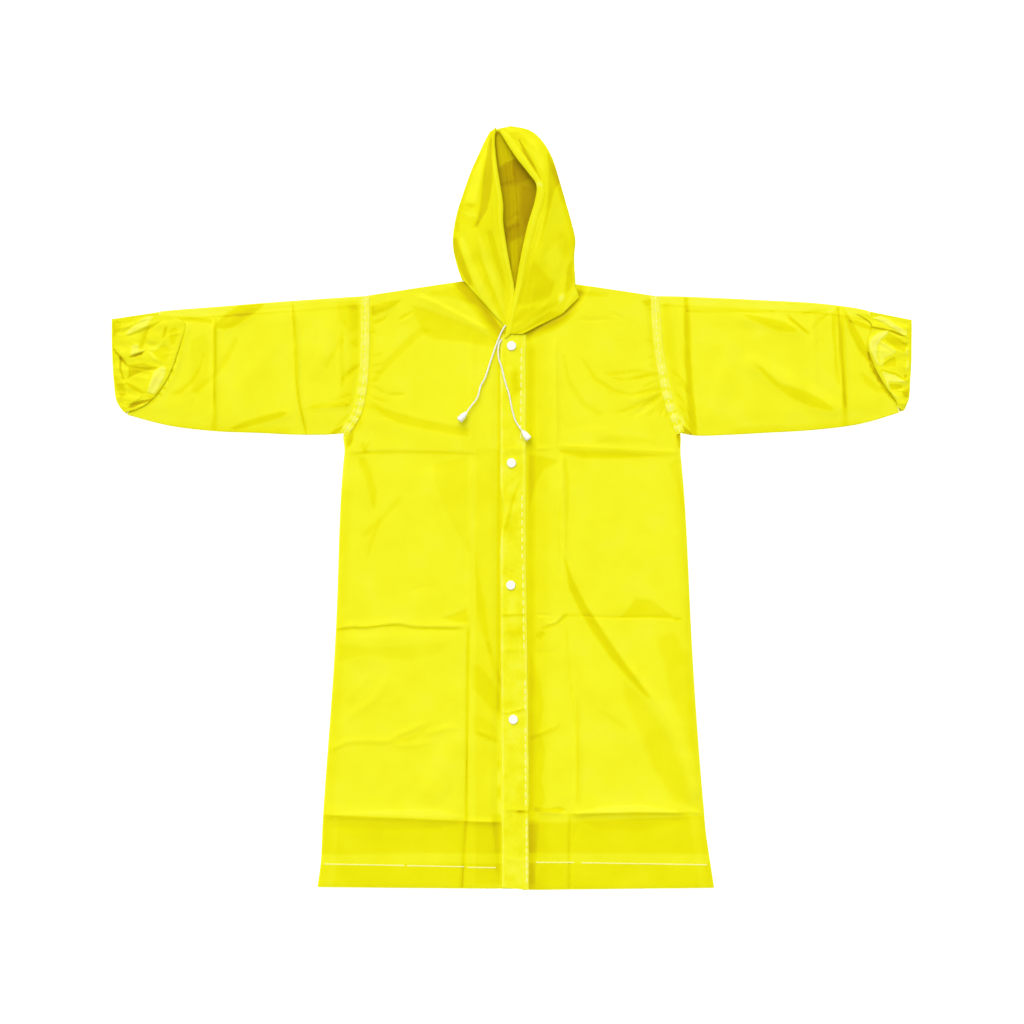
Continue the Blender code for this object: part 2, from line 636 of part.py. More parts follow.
def make_cord(name, route, material, coat):
    """A free end of the drawcord: a round tube along a smooth curve through its route."""
    length = sum(math.dist(a, b) for a, b in zip(route, route[1:]))
    count = max(8, round(length / CORD_POINT_STEP))
    data = bpy.data.curves.new(name, "CURVE")
    data.dimensions = "3D"
    data.bevel_depth = CORD_RADIUS * MM
    data.bevel_resolution = 2
    data.use_fill_caps = True
    spline = data.splines.new("POLY")
    spline.points.add(count)
    for k in range(count + 1):
        place = curve_through(route, k / count * (len(route) - 1))
        spline.points[k].co = (*(Vector(place) * MM), 1.0)
    cord = bpy.data.objects.new(name, data)
    data.materials.append(material)
    coat.objects.link(cord)
    return cord


def make_cord_end(name, route, turn, material, coat):
    """The bell-shaped end on a cord, its narrow mouth against the cord's tip."""
    way = Vector(turn).normalized()
    place = Vector(route[-1]) + way * 1.5 * GAP
    profile = ((0.0, END_LENGTH), (END_WIDE_RADIUS - 0.9, END_LENGTH),
               (END_WIDE_RADIUS, END_LENGTH - 0.9), (END_WIDE_RADIUS - 0.3, 8.0),
               (END_NARROW_RADIUS + 0.8, 3.0), (END_NARROW_RADIUS, 0.6),
               (END_NARROW_RADIUS - 0.5, 0.0), (0.0, 0.0))
    turned(name, profile, 14, place, way, material, coat)


def main():
    coat = start_scene()
    sheet = plain_material("yellow_sheet", YELLOW, 0.4)
    strip = plain_material("pale_weld", PALE_YELLOW, 0.4)
    shade = plain_material("doubled_sheet", DEEP_YELLOW, 0.4)
    plastic = plain_material("white_plastic", WHITE, 0.35)
    braid = plain_material("white_cord", WHITE, 0.8)
    make_back(sheet, coat)
    make_fronts(sheet, coat)
    make_placket(shade, coat)
    make_sleeve("sleeve_left", SLEEVE_LEFT, ARMHOLE_LEFT, -1.0, sheet, coat)
    make_sleeve("sleeve_right", SLEEVE_RIGHT, ARMHOLE_RIGHT, 1.0, sheet, coat)
    make_cuff("cuff_left", CUFF_LEFT, CUFF_INNER_LEFT, -1.0, sheet, coat)
    make_cuff("cuff_right", CUFF_RIGHT, CUFF_INNER_RIGHT, 1.0, sheet, coat)
    make_armhole_strip("armhole_strip_left", ARMHOLE_LEFT, -1.0, strip, coat)
    make_armhole_strip("armhole_strip_right", ARMHOLE_RIGHT, 1.0, strip, coat)
    make_hood(sheet, coat)
    make_snaps(plastic, coat)
    make_cord("cord_left", CORD_LEFT_ROUTE, braid, coat)
    make_cord("cord_right", CORD_RIGHT_ROUTE, braid, coat)
    make_cord_end("cord_end_left", CORD_LEFT_ROUTE, CORD_TURN_LEFT, plastic, coat)
    make_cord_end("cord_end_right", CORD_RIGHT_ROUTE, CORD_TURN_RIGHT, plastic, coat)


main()
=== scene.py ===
# %% [markdown]
# # A child's hooded raincoat, laid flat
#
# The coat is thin, soft plastic sheet, welded together along its seams, snapped shut and laid
# out on its back. It has been folded in a packet, so sharp creases cross it in a grid, and soft
# swells run between them. All cloth here is a thin shell on the form of the solid that it stands
# for. Tables hold the outlines and the folds in millimetres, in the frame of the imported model:
# x to the onlooker's right, y up the coat to the hood, z up from the surface that it lies on.

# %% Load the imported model
import math

import bmesh
import bpy
import numpy as np
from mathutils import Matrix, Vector


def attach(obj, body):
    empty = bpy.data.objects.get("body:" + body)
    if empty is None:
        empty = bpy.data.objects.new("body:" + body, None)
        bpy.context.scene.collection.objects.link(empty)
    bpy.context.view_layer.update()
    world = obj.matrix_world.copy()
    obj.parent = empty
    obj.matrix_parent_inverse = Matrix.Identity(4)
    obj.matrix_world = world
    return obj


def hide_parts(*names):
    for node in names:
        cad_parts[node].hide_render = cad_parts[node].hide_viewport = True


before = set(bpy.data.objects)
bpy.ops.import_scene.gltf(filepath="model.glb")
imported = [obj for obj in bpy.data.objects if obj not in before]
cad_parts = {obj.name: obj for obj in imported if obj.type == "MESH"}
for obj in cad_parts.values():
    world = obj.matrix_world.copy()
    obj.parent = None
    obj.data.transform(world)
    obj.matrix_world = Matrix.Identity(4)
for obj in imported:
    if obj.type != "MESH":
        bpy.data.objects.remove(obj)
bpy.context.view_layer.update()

MM = 0.001                      # tables are in millimetres, Blender's unit is the metre

# %% [markdown]
# ## Where the camera stands
#
# The coat is seen from straight above, a little narrower than the picture. A long lens keeps the
# view almost parallel. The picture is square, so one width fixes the camera's height.

# %% Camera
VIEW_WIDTH = 1433.6             # mm that the picture shows at the cloth
VIEW_CENTRE = (0.7, -5.6)
CLOTH_LEVEL = 3.5
LENS = 85.0
SENSOR = 36.0

bpy.ops.object.select_all(action="DESELECT")
camera_height = VIEW_WIDTH * LENS / SENSOR + CLOTH_LEVEL
bpy.ops.object.camera_add(location=(VIEW_CENTRE[0] * MM, VIEW_CENTRE[1] * MM, camera_height * MM))
camera = bpy.context.object
camera.name = "camera_above"
camera.data.lens = LENS
camera.data.sensor_width = SENSOR
camera.data.clip_end = 50.0
bpy.context.scene.camera = camera
print("camera", round(camera_height * MM, 3), "m above the floor")

# %% [markdown]
# ## Small helpers
#
# A cloth sheet is a grid whose corners are moved to places that numpy works out from a table.
# Four helpers do most of the shaping: `ease` softens a step, `read` gives a smooth curve through
# a table's points, `folds_at` adds up folds and `patches_at` adds up patches. A fold is a line of
# points with a rise, and a width on each side. The light comes from the top left, so each line
# is drawn with its lit side on its left hand: rows from left to right, columns from bottom to
# top. In a table of tones a fold is a line of painted shade, and a negative one painted highlight.
# A patch is a many-cornered hollow or flap that is darker or paler than the cloth round it:
# mostly painted shade and painted highlight.
# A table names each fold and patch for its place, and writes the x,y of a point close together.

# %% Steps and curves


def ease(t):
    t = np.clip(t, 0.0, 1.0)
    return t * t * (3.0 - 2.0 * t)


def between(a, b, share):
    """What lies a share of the way from a to b."""
    return a + (b - a) * share


def read(points, at):
    """The smooth curve through a table's points, read at positions counted in rows."""
    points = np.asarray(points, float)
    last = len(points) - 1
    at = np.asarray(at, float)
    start = np.clip(at.astype(int), 0, last - 1)
    t = (at - start)[:, None]
    before = points[np.maximum(start - 1, 0)]
    a, b = points[start], points[start + 1]
    after = points[np.minimum(start + 2, last)]
    bend = 2.0 * before - 5.0 * a + 4.0 * b - after
    swing = 3.0 * a - before - 3.0 * b + after
    return 0.5 * (2.0 * a + (b - before) * t + bend * t ** 2 + swing * t ** 3)


def spaced(points, counts):
    """The smooth curve through unevenly spaced points, with a count of steps to each next one."""
    points = np.asarray(points, float)
    gap = np.linalg.norm(np.diff(points, axis=0), axis=1)[:, None]
    slope = np.diff(points, axis=0) / gap
    inner = (slope[:-1] * gap[1:] + slope[1:] * gap[:-1]) / (gap[:-1] + gap[1:])
    way = np.vstack([slope[:1], inner, slope[-1:]])
    found = []
    for i, count in enumerate(counts):
        t = np.arange(count)[:, None] / count
        ends = (1.0 + 2.0 * t) * (1.0 - t) ** 2 * points[i] + t * t * (3.0 - 2.0 * t) * points[i + 1]
        found.append(ends + gap[i] * t * (1.0 - t) * ((1.0 - t) * way[i] - t * way[i + 1]))
    return np.vstack([*found, points[-1:]])


print("half a step eases to", float(ease(0.5)))

# %% Folds
CREASE = "crease"               # pressed: a sharp crest with hollow flanks
SWELL = "swell"                 # soft: a round crest
RELIEF = 0.70                   # the folds' rises are for a hard crease; this sheet is softer
LINE_STEPS = 6
END_TAPER = 22.0                # a fold dies out over this length at each end
SHORT_TAPER = 0.35              # or over this share of a short one


def folds_at(x, y, folds):
    """What a table of folds adds at each place: height, or depth of tone, mostly painted shade."""
    total = np.zeros_like(x)
    for _name, kind, rise, lit, shaded, *points in folds:
        points = np.reshape(points, (-1, 2))
        last = len(points) - 1
        line = read(points, np.linspace(0, last, last * LINE_STEPS + 1))
        reach = max(lit, shaded)
        low, high = line.min(0) - reach, line.max(0) + reach
        near = (x > low[0]) & (x < high[0]) & (y > low[1]) & (y < high[1])
        px, py = x[near], y[near]
        best = np.full(px.shape, np.inf)
        side = np.zeros_like(px)
        along = np.zeros_like(px)
        run = 0.0
        for (ax, ay), (bx, by) in zip(line, line[1:]):
            dx, dy = bx - ax, by - ay
            length = math.hypot(dx, dy)
            share = np.clip(((px - ax) * dx + (py - ay) * dy) / length ** 2, 0.0, 1.0)
            ox, oy = px - ax - share * dx, py - ay - share * dy
            off = np.hypot(ox, oy)
            closer = off < best
            best[closer] = off[closer]
            side[closer] = (dx * oy - dy * ox)[closer]
            along[closer] = (run + share * length)[closer]
            run += length
        t = np.clip(best / np.where(side > 0.0, lit, shaded), 0.0, 1.0)
        shape = (1.0 - t) ** 2 if kind == CREASE else (1.0 - t * t) ** 2
        taper = min(END_TAPER, SHORT_TAPER * run)
        total[near] += rise * shape * ease(along / taper) * ease((run - along) / taper)
    return total


print("folds are pressed at", RELIEF, "of their rise")

# %% Patches and unevenness
LUMPS = 180                     # lumps of unevenness on each side, before they repeat


def patches_at(x, y, patches):
    """What a table of patches adds at each place: height, and depth of tone, mostly painted shade and
    highlight.
    """
    height, depth = np.zeros_like(x), np.zeros_like(x)
    for _name, tone, rise, soft, *points in patches:
        points = np.reshape(points, (-1, 2)).astype(float)
        low, high = points.min(0), points.max(0)
        near = (x > low[0]) & (x < high[0]) & (y > low[1]) & (y < high[1])
        px, py = x[near], y[near]
        inside = np.zeros(px.shape, bool)
        edge = np.full(px.shape, np.inf)
        for (ax, ay), (bx, by) in zip(points, np.roll(points, -1, axis=0)):
            dx, dy = bx - ax, by - ay
            share = np.clip(((px - ax) * dx + (py - ay) * dy) / (dx * dx + dy * dy), 0.0, 1.0)
            edge = np.minimum(edge, np.hypot(px - ax - share * dx, py - ay - share * dy))
            if dy:
                inside ^= ((ay > py) != (by > py)) & (px < ax + dx / dy * (py - ay))
        strength = ease(edge / soft) * inside
        height[near] += rise * strength
        depth[near] += tone * strength
    return height, depth


def mottle(x, y, size, seed):
    """Soft unevenness from -1 to 1 in lumps of a size in mm, the same each run."""
    values = np.random.RandomState(seed).uniform(-1.0, 1.0, (LUMPS, LUMPS))
    gx, gy = x / size + LUMPS // 2, y / size + LUMPS // 2
    ix, iy = np.floor(gx).astype(int), np.floor(gy).astype(int)
    fx, fy = ease(gx - ix), ease(gy - iy)
    left, right, below, above = ix % LUMPS, (ix + 1) % LUMPS, iy % LUMPS, (iy + 1) % LUMPS
    low = values[below, left] * (1 - fx) + values[below, right] * fx
    high = values[above, left] * (1 - fx) + values[above, right] * fx
    return low * (1 - fy) + high * fy


def waver(x, y, seed, *layers):
    """Layers of unevenness, each with its strength and the size of its lumps."""
    return sum(strength * mottle(x, y, size, seed + k) for k, (strength, size) in enumerate(layers))


print("lumps before they repeat:", LUMPS)

# %% [markdown]
# ## From places to pieces
#
# `cloth` adds Blender's own grid, moves its corners, writes each corner's tone to an attribute
# and gives the sheet its thickness with a Solidify modifier that is applied at once. The tone is
# how much darker or paler the sheet is painted there: partly because of what lies under the
# see-through sheet, and partly as painted shade and painted highlight along folds, hollows and
# edges and under the parts that lie on it. A tube is the same grid with its first and last
# columns merged. `sheet` makes a cloth piece ready in one call.

# %% Piece helpers
SHEET_THICKNESS = 0.5           # real sheet is about 0.15 mm, drawn thicker so that its edge shows
MERGE = 0.002
SMOOTH_BELOW = 65.0             # degrees between faces, under which cloth is shaded smooth
made = {}


def deselect():
    bpy.ops.object.select_all(action="DESELECT")


def dress(piece, name, material, slot, *nodes):
    """Name a finished piece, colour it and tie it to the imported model."""
    piece.name = name
    piece.data.name = name
    piece.data.materials.clear()
    piece.data.materials.append(material)
    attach(piece, "root")
    if nodes:
        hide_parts(*nodes)
    made[name] = piece
    return piece


def shaped_grid(places, tone=None, closed=False):
    """Blender's grid with its corners moved to rows x columns places in mm."""
    deselect()
    rows, columns = places.shape[:2]
    bpy.ops.mesh.primitive_grid_add(x_subdivisions=columns - 1, y_subdivisions=rows - 1, size=1.0)
    piece = bpy.context.object
    piece.data.vertices.foreach_set("co", (places * MM).astype(np.float32).ravel())
    if tone is not None:
        layer = piece.data.attributes.new("tone", "FLOAT", "POINT")
        layer.data.foreach_set("value", tone.astype(np.float32).ravel())
    if closed:
        bpy.ops.object.mode_set(mode="EDIT")
        bpy.ops.mesh.select_all(action="SELECT")
        bpy.ops.mesh.remove_doubles(threshold=MERGE * MM)
        bpy.ops.object.mode_set(mode="OBJECT")
    return piece


def cloth(places, tone, closed=False, thickness=SHEET_THICKNESS):
    """A cloth shell: places are its outer face, and its thickness goes inwards."""
    piece = shaped_grid(places, tone, closed)
    solidify = piece.modifiers.new("thickness", "SOLIDIFY")
    solidify.thickness = thickness * MM
    solidify.offset = -1.0
    bpy.ops.object.modifier_apply(modifier=solidify.name)
    bpy.ops.object.shade_smooth_by_angle(angle=math.radians(SMOOTH_BELOW))
    return piece


def sheet(name, places, tone, material, slot, *nodes, **shell):
    """A cloth piece: made and dressed."""
    piece = dress(cloth(places, tone, **shell), name, material, slot, *nodes)
    return piece


print("sheet thickness", SHEET_THICKNESS, "mm")

# %% [markdown]
# ## The drawcord
#
# A thin white braided cord runs in the channel round the face, and its two ends hang out at the
# neck and lie on the chest, crossing once. Both ends show from end to end, so their length is
# what the picture shows. Each is a tube along the same route as its solid, with the diamonds of
# the braid raised in its wall. Real braid is finer; it is drawn as coarse as it needs to be to
# show.

# %% Cord routes, exit to tip: x, y, z
CORD_RADIUS = 1.1
BRAID_PITCH = 2.6
BRAID_RELIEF = 0.09             # share of the radius
BRAID_STRANDS = 4
CORD_AROUND = 16
CORD_STEP = 0.6
ROUTE_STEPS = 600
CORD_LEFT_ROUTE = (
    (-8, 256, 5.7), (-14, 246.5, 5.8), (-19.2, 233.5, 5.6), (-24, 221, 5.9), (-31, 200, 6.6), (-37, 182, 7),
    (-43, 171, 7.3), (-47.5, 155, 7.8), (-56, 143, 8.6), (-62.5, 134, 9.5),
)
CORD_RIGHT_ROUTE = (
    (-13.8, 236.4, 5), (-17.4, 229.5, 5.3), (-18.8, 219, 5.4), (-17.5, 208, 5.8), (-13, 194, 6), (-9, 177, 5.8),
    (-3.5, 159.5, 5.7), (0, 141.5, 5.7), (4.5, 125, 5.8), (10, 114.5, 6.3), (14.5, 108.5, 6.9),
)


def cord_tube(route):
    """The places of a braided tube along a smooth curve through a route, and its centre line."""
    fine = read(route, np.linspace(0, len(route) - 1, ROUTE_STEPS))
    run = np.concatenate([[0.0], np.cumsum(np.linalg.norm(np.diff(fine, axis=0), axis=1))])
    count = int(run[-1] / CORD_STEP)
    along = np.linspace(0.0, run[-1], count)
    line = np.stack([np.interp(along, run, fine[:, k]) for k in range(3)], axis=1)
    way = np.gradient(line, axis=0)
    way /= np.linalg.norm(way, axis=1)[:, None]
    side = np.cross(way, (0.0, 0.0, 1.0))
    side /= np.linalg.norm(side, axis=1)[:, None]
    up = np.cross(side, way)
    turn = np.linspace(0.0, 2.0 * math.pi, CORD_AROUND + 1)
    phase = 2.0 * math.pi * along[:, None] / BRAID_PITCH
    braid = np.sin(phase + BRAID_STRANDS * turn) * np.sin(phase - BRAID_STRANDS * turn)
    radius = CORD_RADIUS * (1.0 - BRAID_RELIEF + BRAID_RELIEF * braid)
    radius[[0, -1]] = 0.0
    ring = side[:, None] * np.cos(turn)[:, None] + up[:, None] * np.sin(turn)[:, None]
    places = line[:, None] + ring * radius[:, :, None]
    places[:, -1] = places[:, 0]
    return places, line


cords = {}
for side_name, route in (("left", CORD_LEFT_ROUTE), ("right", CORD_RIGHT_ROUTE)):
    places, line = cord_tube(route)
    tube = shaped_grid(places, closed=True)
    bpy.ops.object.mode_set(mode="EDIT")
    bpy.ops.mesh.normals_make_consistent(inside=False)
    bpy.ops.object.mode_set(mode="OBJECT")
    bpy.ops.object.shade_smooth()
    cords[side_name] = (tube, line)
    print("cord", side_name, round(float(np.linalg.norm(np.diff(line, axis=0), axis=1).sum()), 1), "mm")

# %% [markdown]
# ## Finishes
#
# The sheet is EVA or PVC film, rolled smooth between warm cylinders. It has a soft satin gloss,
# it is a little see-through, and light that bounces between its layers turns its shadows from
# lemon to ochre. Where two layers are welded it looks paler, and where more lies under it, it
# looks deeper. So its colour comes from a ramp over each corner's tone, with a faint cloudiness,
# and its gloss changes a little from place to place. Much of the tone is painted shade and
# painted highlight, and the ramp paints the deepest tones ochre, as painted shade.

# %% Colour and node helpers


def linear(hex_colour):
    """An sRGB hex colour as the linear values that Blender's sockets take."""
    found = []
    for start in (1, 3, 5):
        value = int(hex_colour[start:start + 2], 16) / 255.0
        found.append(value / 12.92 if value <= 0.04045 else ((value + 0.055) / 1.055) ** 2.4)
    return (*found, 1.0)


def add_node(tree, kind, settings=(), **inputs):
    """Add a node. Inputs are values, or other nodes' sockets to link, by name or number."""
    node = tree.nodes.new("ShaderNode" + kind)
    for key, value in dict(settings).items():
        setattr(node, key, value)
    for name, value in inputs.items():
        socket = node.inputs[int(name[1:])] if name[1:].isdigit() else node.inputs[name.replace("_", " ")]
        if isinstance(value, bpy.types.NodeSocket):
            tree.links.new(value, socket)
        else:
            socket.default_value = value
    return node


def new_material(name):
    material = bpy.data.materials.new(name)
    material.use_nodes = True
    tree = material.node_tree
    return material, tree, tree.nodes["Principled BSDF"]


# %% Plastic film
CLOUD = 42.0                    # mm, size of the film's faint clouds
GRAIN = 1.6                     # mm, its skin; real grain is finer, this is as fine as shows
CRUMPLE = 9.0                   # mm, small dents between the folds
# Paler tones: welds, allowances and painted highlight; deeper ones: layers under the sheet and painted shade
FILM_RAMP = (                   # tone, colour
    (-0.90, "#FBFAB4"),
    (-0.40, "#F4F265"),
    (-0.15, "#F1F03A"),
    (0.00, "#EFED22"),
    (0.20, "#E8E305"),
    (0.35, "#E1D900"),
    (0.65, "#C7B400"),
    (1.00, "#AE9200"),
)
FILM_SPECULAR = 0.06            # low: the film's skin is fine-grained and scatters what it mirrors


def film(name, ramp_stops, roughness, dent):
    """Calendered plastic film: satin, cloudy, finely dented."""
    material, tree, shader = new_material(name)
    place = add_node(tree, "TexCoord").outputs["Object"]
    tone = add_node(tree, "Attribute", {"attribute_name": "tone"}).outputs["Fac"]
    cloud = add_node(tree, "TexNoise", Vector=place, Scale=1.0 / (CLOUD * MM), Detail=3.0).outputs["Fac"]
    uneven = add_node(tree, "MapRange", Value=cloud, From_Min=0.3, From_Max=0.7, To_Min=-0.05, To_Max=0.05)
    depth = add_node(tree, "Math", {"operation": "ADD"}, _0=tone, _1=uneven.outputs["Result"])
    low, high = ramp_stops[0][0], ramp_stops[-1][0]
    share = add_node(tree, "MapRange", Value=depth.outputs[0], From_Min=low, From_Max=high)
    ramp = add_node(tree, "ValToRGB", Fac=share.outputs["Result"])
    stops = ramp.color_ramp.elements
    while len(stops) < len(ramp_stops):
        stops.new(0.5)
    for stop, (at, colour) in zip(stops, ramp_stops):
        stop.position = (at - low) / (high - low)
        stop.color = linear(colour)
    tree.links.new(ramp.outputs["Color"], shader.inputs["Base Color"])
    gloss = add_node(tree, "MapRange", Value=cloud, To_Min=roughness - 0.06, To_Max=roughness + 0.06)
    tree.links.new(gloss.outputs["Result"], shader.inputs["Roughness"])
    grain = add_node(tree, "TexNoise", Vector=place, Scale=1.0 / (GRAIN * MM), Detail=2.0)
    dents = add_node(tree, "TexNoise", Vector=place, Scale=1.0 / (CRUMPLE * MM), Detail=4.0)
    skin = add_node(tree, "Bump", Strength=0.08, Distance=0.1 * MM, Height=grain.outputs["Fac"])
    bump = add_node(tree, "Bump", Strength=dent, Distance=0.8 * MM, Height=dents.outputs["Fac"],
                    Normal=skin.outputs["Normal"])
    tree.links.new(bump.outputs["Normal"], shader.inputs["Normal"])
    shader.inputs["IOR"].default_value = 1.49
    shader.inputs["Specular IOR Level"].default_value = FILM_SPECULAR
    return material


sheet_film = film("yellow_satin_film", FILM_RAMP, 0.42, 0.25)
doubled_film = film("yellow_doubled_film", FILM_RAMP, 0.38, 0.3)
weld_film = film("yellow_welded_film", FILM_RAMP, 0.34, 0.3)

# %% [markdown]
# The snaps and the bell ends are injection-moulded white plastic: smooth, slightly warm, with a
# soft highlight. The cord is braided polyester: white, matt, with a little fuzz that lifts its
# edges. The floor is plain white card.

# %% White plastic, braid, floor
SPECKLE = 3.0                   # mm, clouds in the moulded plastic
FIBRE = 0.5                     # mm, the cord's fibres, drawn coarse enough to show
CARD_FIBRE = 2.0
CARD_GLOW = 0.55                # the card is lit from below as well, as on a light table


def near_white(name, size, detail, dark, light):
    """A material between two whites, in spots of a size in mm, and the pattern of its spots."""
    material, tree, shader = new_material(name)
    place = add_node(tree, "TexCoord").outputs["Object"]
    spots = add_node(tree, "TexNoise", Vector=place, Scale=1.0 / (size * MM), Detail=detail).outputs["Fac"]
    tint = add_node(tree, "ValToRGB", Fac=spots)
    tint.color_ramp.elements[0].color = linear(dark)
    tint.color_ramp.elements[1].color = linear(light)
    tree.links.new(tint.outputs["Color"], shader.inputs["Base Color"])
    return material, tree, shader.inputs, spots


plastic, tree, sockets, spots = near_white("white_moulded_plastic", SPECKLE, 2.0, "#F6F6F2", "#FDFDFB")
gloss = add_node(tree, "MapRange", Value=spots, To_Min=0.26, To_Max=0.36)
tree.links.new(gloss.outputs["Result"], sockets["Roughness"])

braid, tree, sockets, spots = near_white("white_braided_polyester", FIBRE, 3.0, "#E4E4DC", "#FFFFFA")
bump = add_node(tree, "Bump", Strength=0.5, Distance=0.1 * MM, Height=spots)
tree.links.new(bump.outputs["Normal"], sockets["Normal"])
sockets["Roughness"].default_value = 0.85
sockets["Sheen Weight"].default_value = 0.3

card, tree, sockets, spots = near_white("white_card", CARD_FIBRE, 2.0, "#FAFAFA", "#FCFCFC")
sockets["Roughness"].default_value = 0.95
sockets["Specular IOR Level"].default_value = 0.1
sockets["Emission Color"].default_value = linear("#FFFFFF")
sockets["Emission Strength"].default_value = CARD_GLOW

for side_name, (tube, _line) in cords.items():
    dress(tube, "drawcord_" + side_name, braid, "cord", "cord_" + side_name)
print("materials:", len(bpy.data.materials))

# %% [markdown]
# ## The back
#
# One flat panel under both fronts, seen only as an edge and at the neck. The packet's creases
# lift it a little off the surface. Its outline is the fronts' side seams, the armholes and the
# shoulders, so both tables come first. Each row of a front's table is a pair of places, on the
# side or armhole seam and on the front edge or the neckline, with the number of grid rows up to
# the next pair: many across a pressed fold, few between.

# %% Outline tables: name, seam x, y, front edge x, y, grid rows to the next
FRONT_LEFT = (
    ("hem", -272,-531, 15,-533.5, 13),
    ("hem_weld", -267.5,-498, 15,-499, 18),
    ("low_fold_foot", -264.8,-444, 15,-451, 11),
    ("low_fold", -264,-430, 15,-437, 12),
    ("low_fold_back", -262.8,-412, 15,-419, 76),
    ("mid_fold_foot", -246.7,-181, 15,-176, 11),
    ("mid_fold", -246,-167, 15,-162, 12),
    ("mid_fold_back", -245.2,-150, 15,-145, 70),
    ("high_fold_foot", -235.4,65, 15,61, 11),
    ("high_fold", -234,79, 15,75, 14),
    ("armpit", -235,104.5, 15,100, 12),
    ("arm_low", -222,123, 15,135, 12),
    ("arm_turn", -215,138, 15,168, 12),
    ("arm_rise", -210,161, 15,200, 12),
    ("neck_point", -206.5,191, 15,231, 13),
    ("neck_low", -205,237, -2,255, 12),
    ("neck_high", -205,267, -33,287, 11),
    ("shoulder", -205,297, -69,317.7, 1),
)
FRONT_RIGHT = (
    ("hem", 284,-532, 15.4,-535, 13),
    ("hem_weld", 279,-499, 15.4,-499, 18),
    ("low_fold_foot", 271,-440, 15.4,-434, 11),
    ("low_fold", 270,-426, 15.4,-420, 12),
    ("low_fold_back", 268.4,-408, 15.4,-402, 76),
    ("mid_fold_foot", 251.7,-169, 15.4,-164, 11),
    ("mid_fold", 251,-155, 15.4,-150, 12),
    ("mid_fold_back", 250.2,-138, 15.4,-133, 66),
    ("high_fold_foot", 238.4,62, 15.4,68, 11),
    ("high_fold", 237,76, 15.4,82, 14),
    ("armpit", 236.5,105, 15.4,104, 12),
    ("arm_low", 229,126, 15.4,136, 12),
    ("arm_turn", 221,146, 15.4,170, 12),
    ("arm_rise", 215,173, 15.4,205, 12),
    ("neck_point", 209,205, 15.4,250, 13),
    ("neck_low", 204.5,240, 52,271, 12),
    ("neck_high", 202.5,270, 78,290, 11),
    ("shoulder", 201,297, 89.5,313.7, 1),
)
ARMPIT_Y = 104.0
NECK_LOW_Y = 237.0
NECK_MIDDLE = (5.0, 304.0)
TOP_ROWS = 8                    # the back's last rows lean to the line of shoulders and neck
BACK_LEVEL = 0.5
BACK_COLUMNS = 113
BACK_TONE = 0.15
BACK_SHADE = 0.5                # tone for each mm that a crease lifts the back off the floor
# Each fold: name, kind, rise, width on its lit and on its shaded side, points x,y
FOLDS_BACK = (
    ("high_fold", CREASE, 0.35, 7, 9, -228,72, -110,76, 20,78, 130,82, 230,76),
    ("mid_fold", CREASE, 0.4, 6, 8, -238,-171, -120,-166, 10,-160, 130,-154, 243,-156),
    ("low_fold", CREASE, 0.45, 8, 9, -256,-431, -150,-434, 0,-436, 120,-428, 262,-426),
    ("left_fold", CREASE, 0.35, 8, 7, -70,-520, -64,-430, -62,-300, -60,-158, -60,60, -58,230),
    ("right_fold", CREASE, 0.4, 7, 8, 81,-520, 90,-420, 90,-304, 76,-84, 70,80, 74,236),
    ("hip_swell", SWELL, 0.3, 22, 28, -196,-52, -160,-108, -120,-150),
    ("seat_swell", SWELL, 0.35, 18, 30, 106,-196, 150,-252, 196,-336, 222,-390),
    ("knee_swell", SWELL, 0.22, 12, 16, -226,-352, -180,-330, -112,-318),
    ("blade_left", SWELL, 0.28, 14, 22, -168,236, -120,196, -92,140),
    ("blade_right", SWELL, 0.24, 20, 14, 176,190, 128,168, 96,120),
)


def outline_rows(table):
    """The pairs of places of a table, with its grid rows filled in."""
    return spaced([row[1:5] for row in table], [row[5] for row in table[:-1]])


def back_places():
    """Rows between the two side seams; the last row follows the shoulders and the neck."""
    seams = [(*left[1:3], *right[1:3]) for left, right in zip(FRONT_LEFT, FRONT_RIGHT)]
    rows = spaced(seams, [max(3, row[5] // 2) for row in FRONT_LEFT[:-1]])
    share = np.linspace(0.0, 1.0, BACK_COLUMNS)
    x = between(rows[:, :1], rows[:, 2:3], share)
    y = between(rows[:, 1:2], rows[:, 3:4], share)
    left, right = FRONT_LEFT[-1], FRONT_RIGHT[-1]
    top = np.interp(x, *zip(left[1:3], left[3:5], NECK_MIDDLE, right[3:5], right[1:3]))
    y[-1] = top[-1]
    upper = (np.arange(len(rows)) >= len(rows) - TOP_ROWS)[:, None]
    y = y + ease((y - NECK_LOW_Y) / 60.0) * (top - y) * upper * 0.5
    y[-1] = top[-1]
    lift = folds_at(x, y, FOLDS_BACK)
    return np.stack([x, y, BACK_LEVEL + lift], axis=2), BACK_TONE + BACK_SHADE * lift


sheet("back_sheet", *back_places(), sheet_film, "sheet", "back_panel")
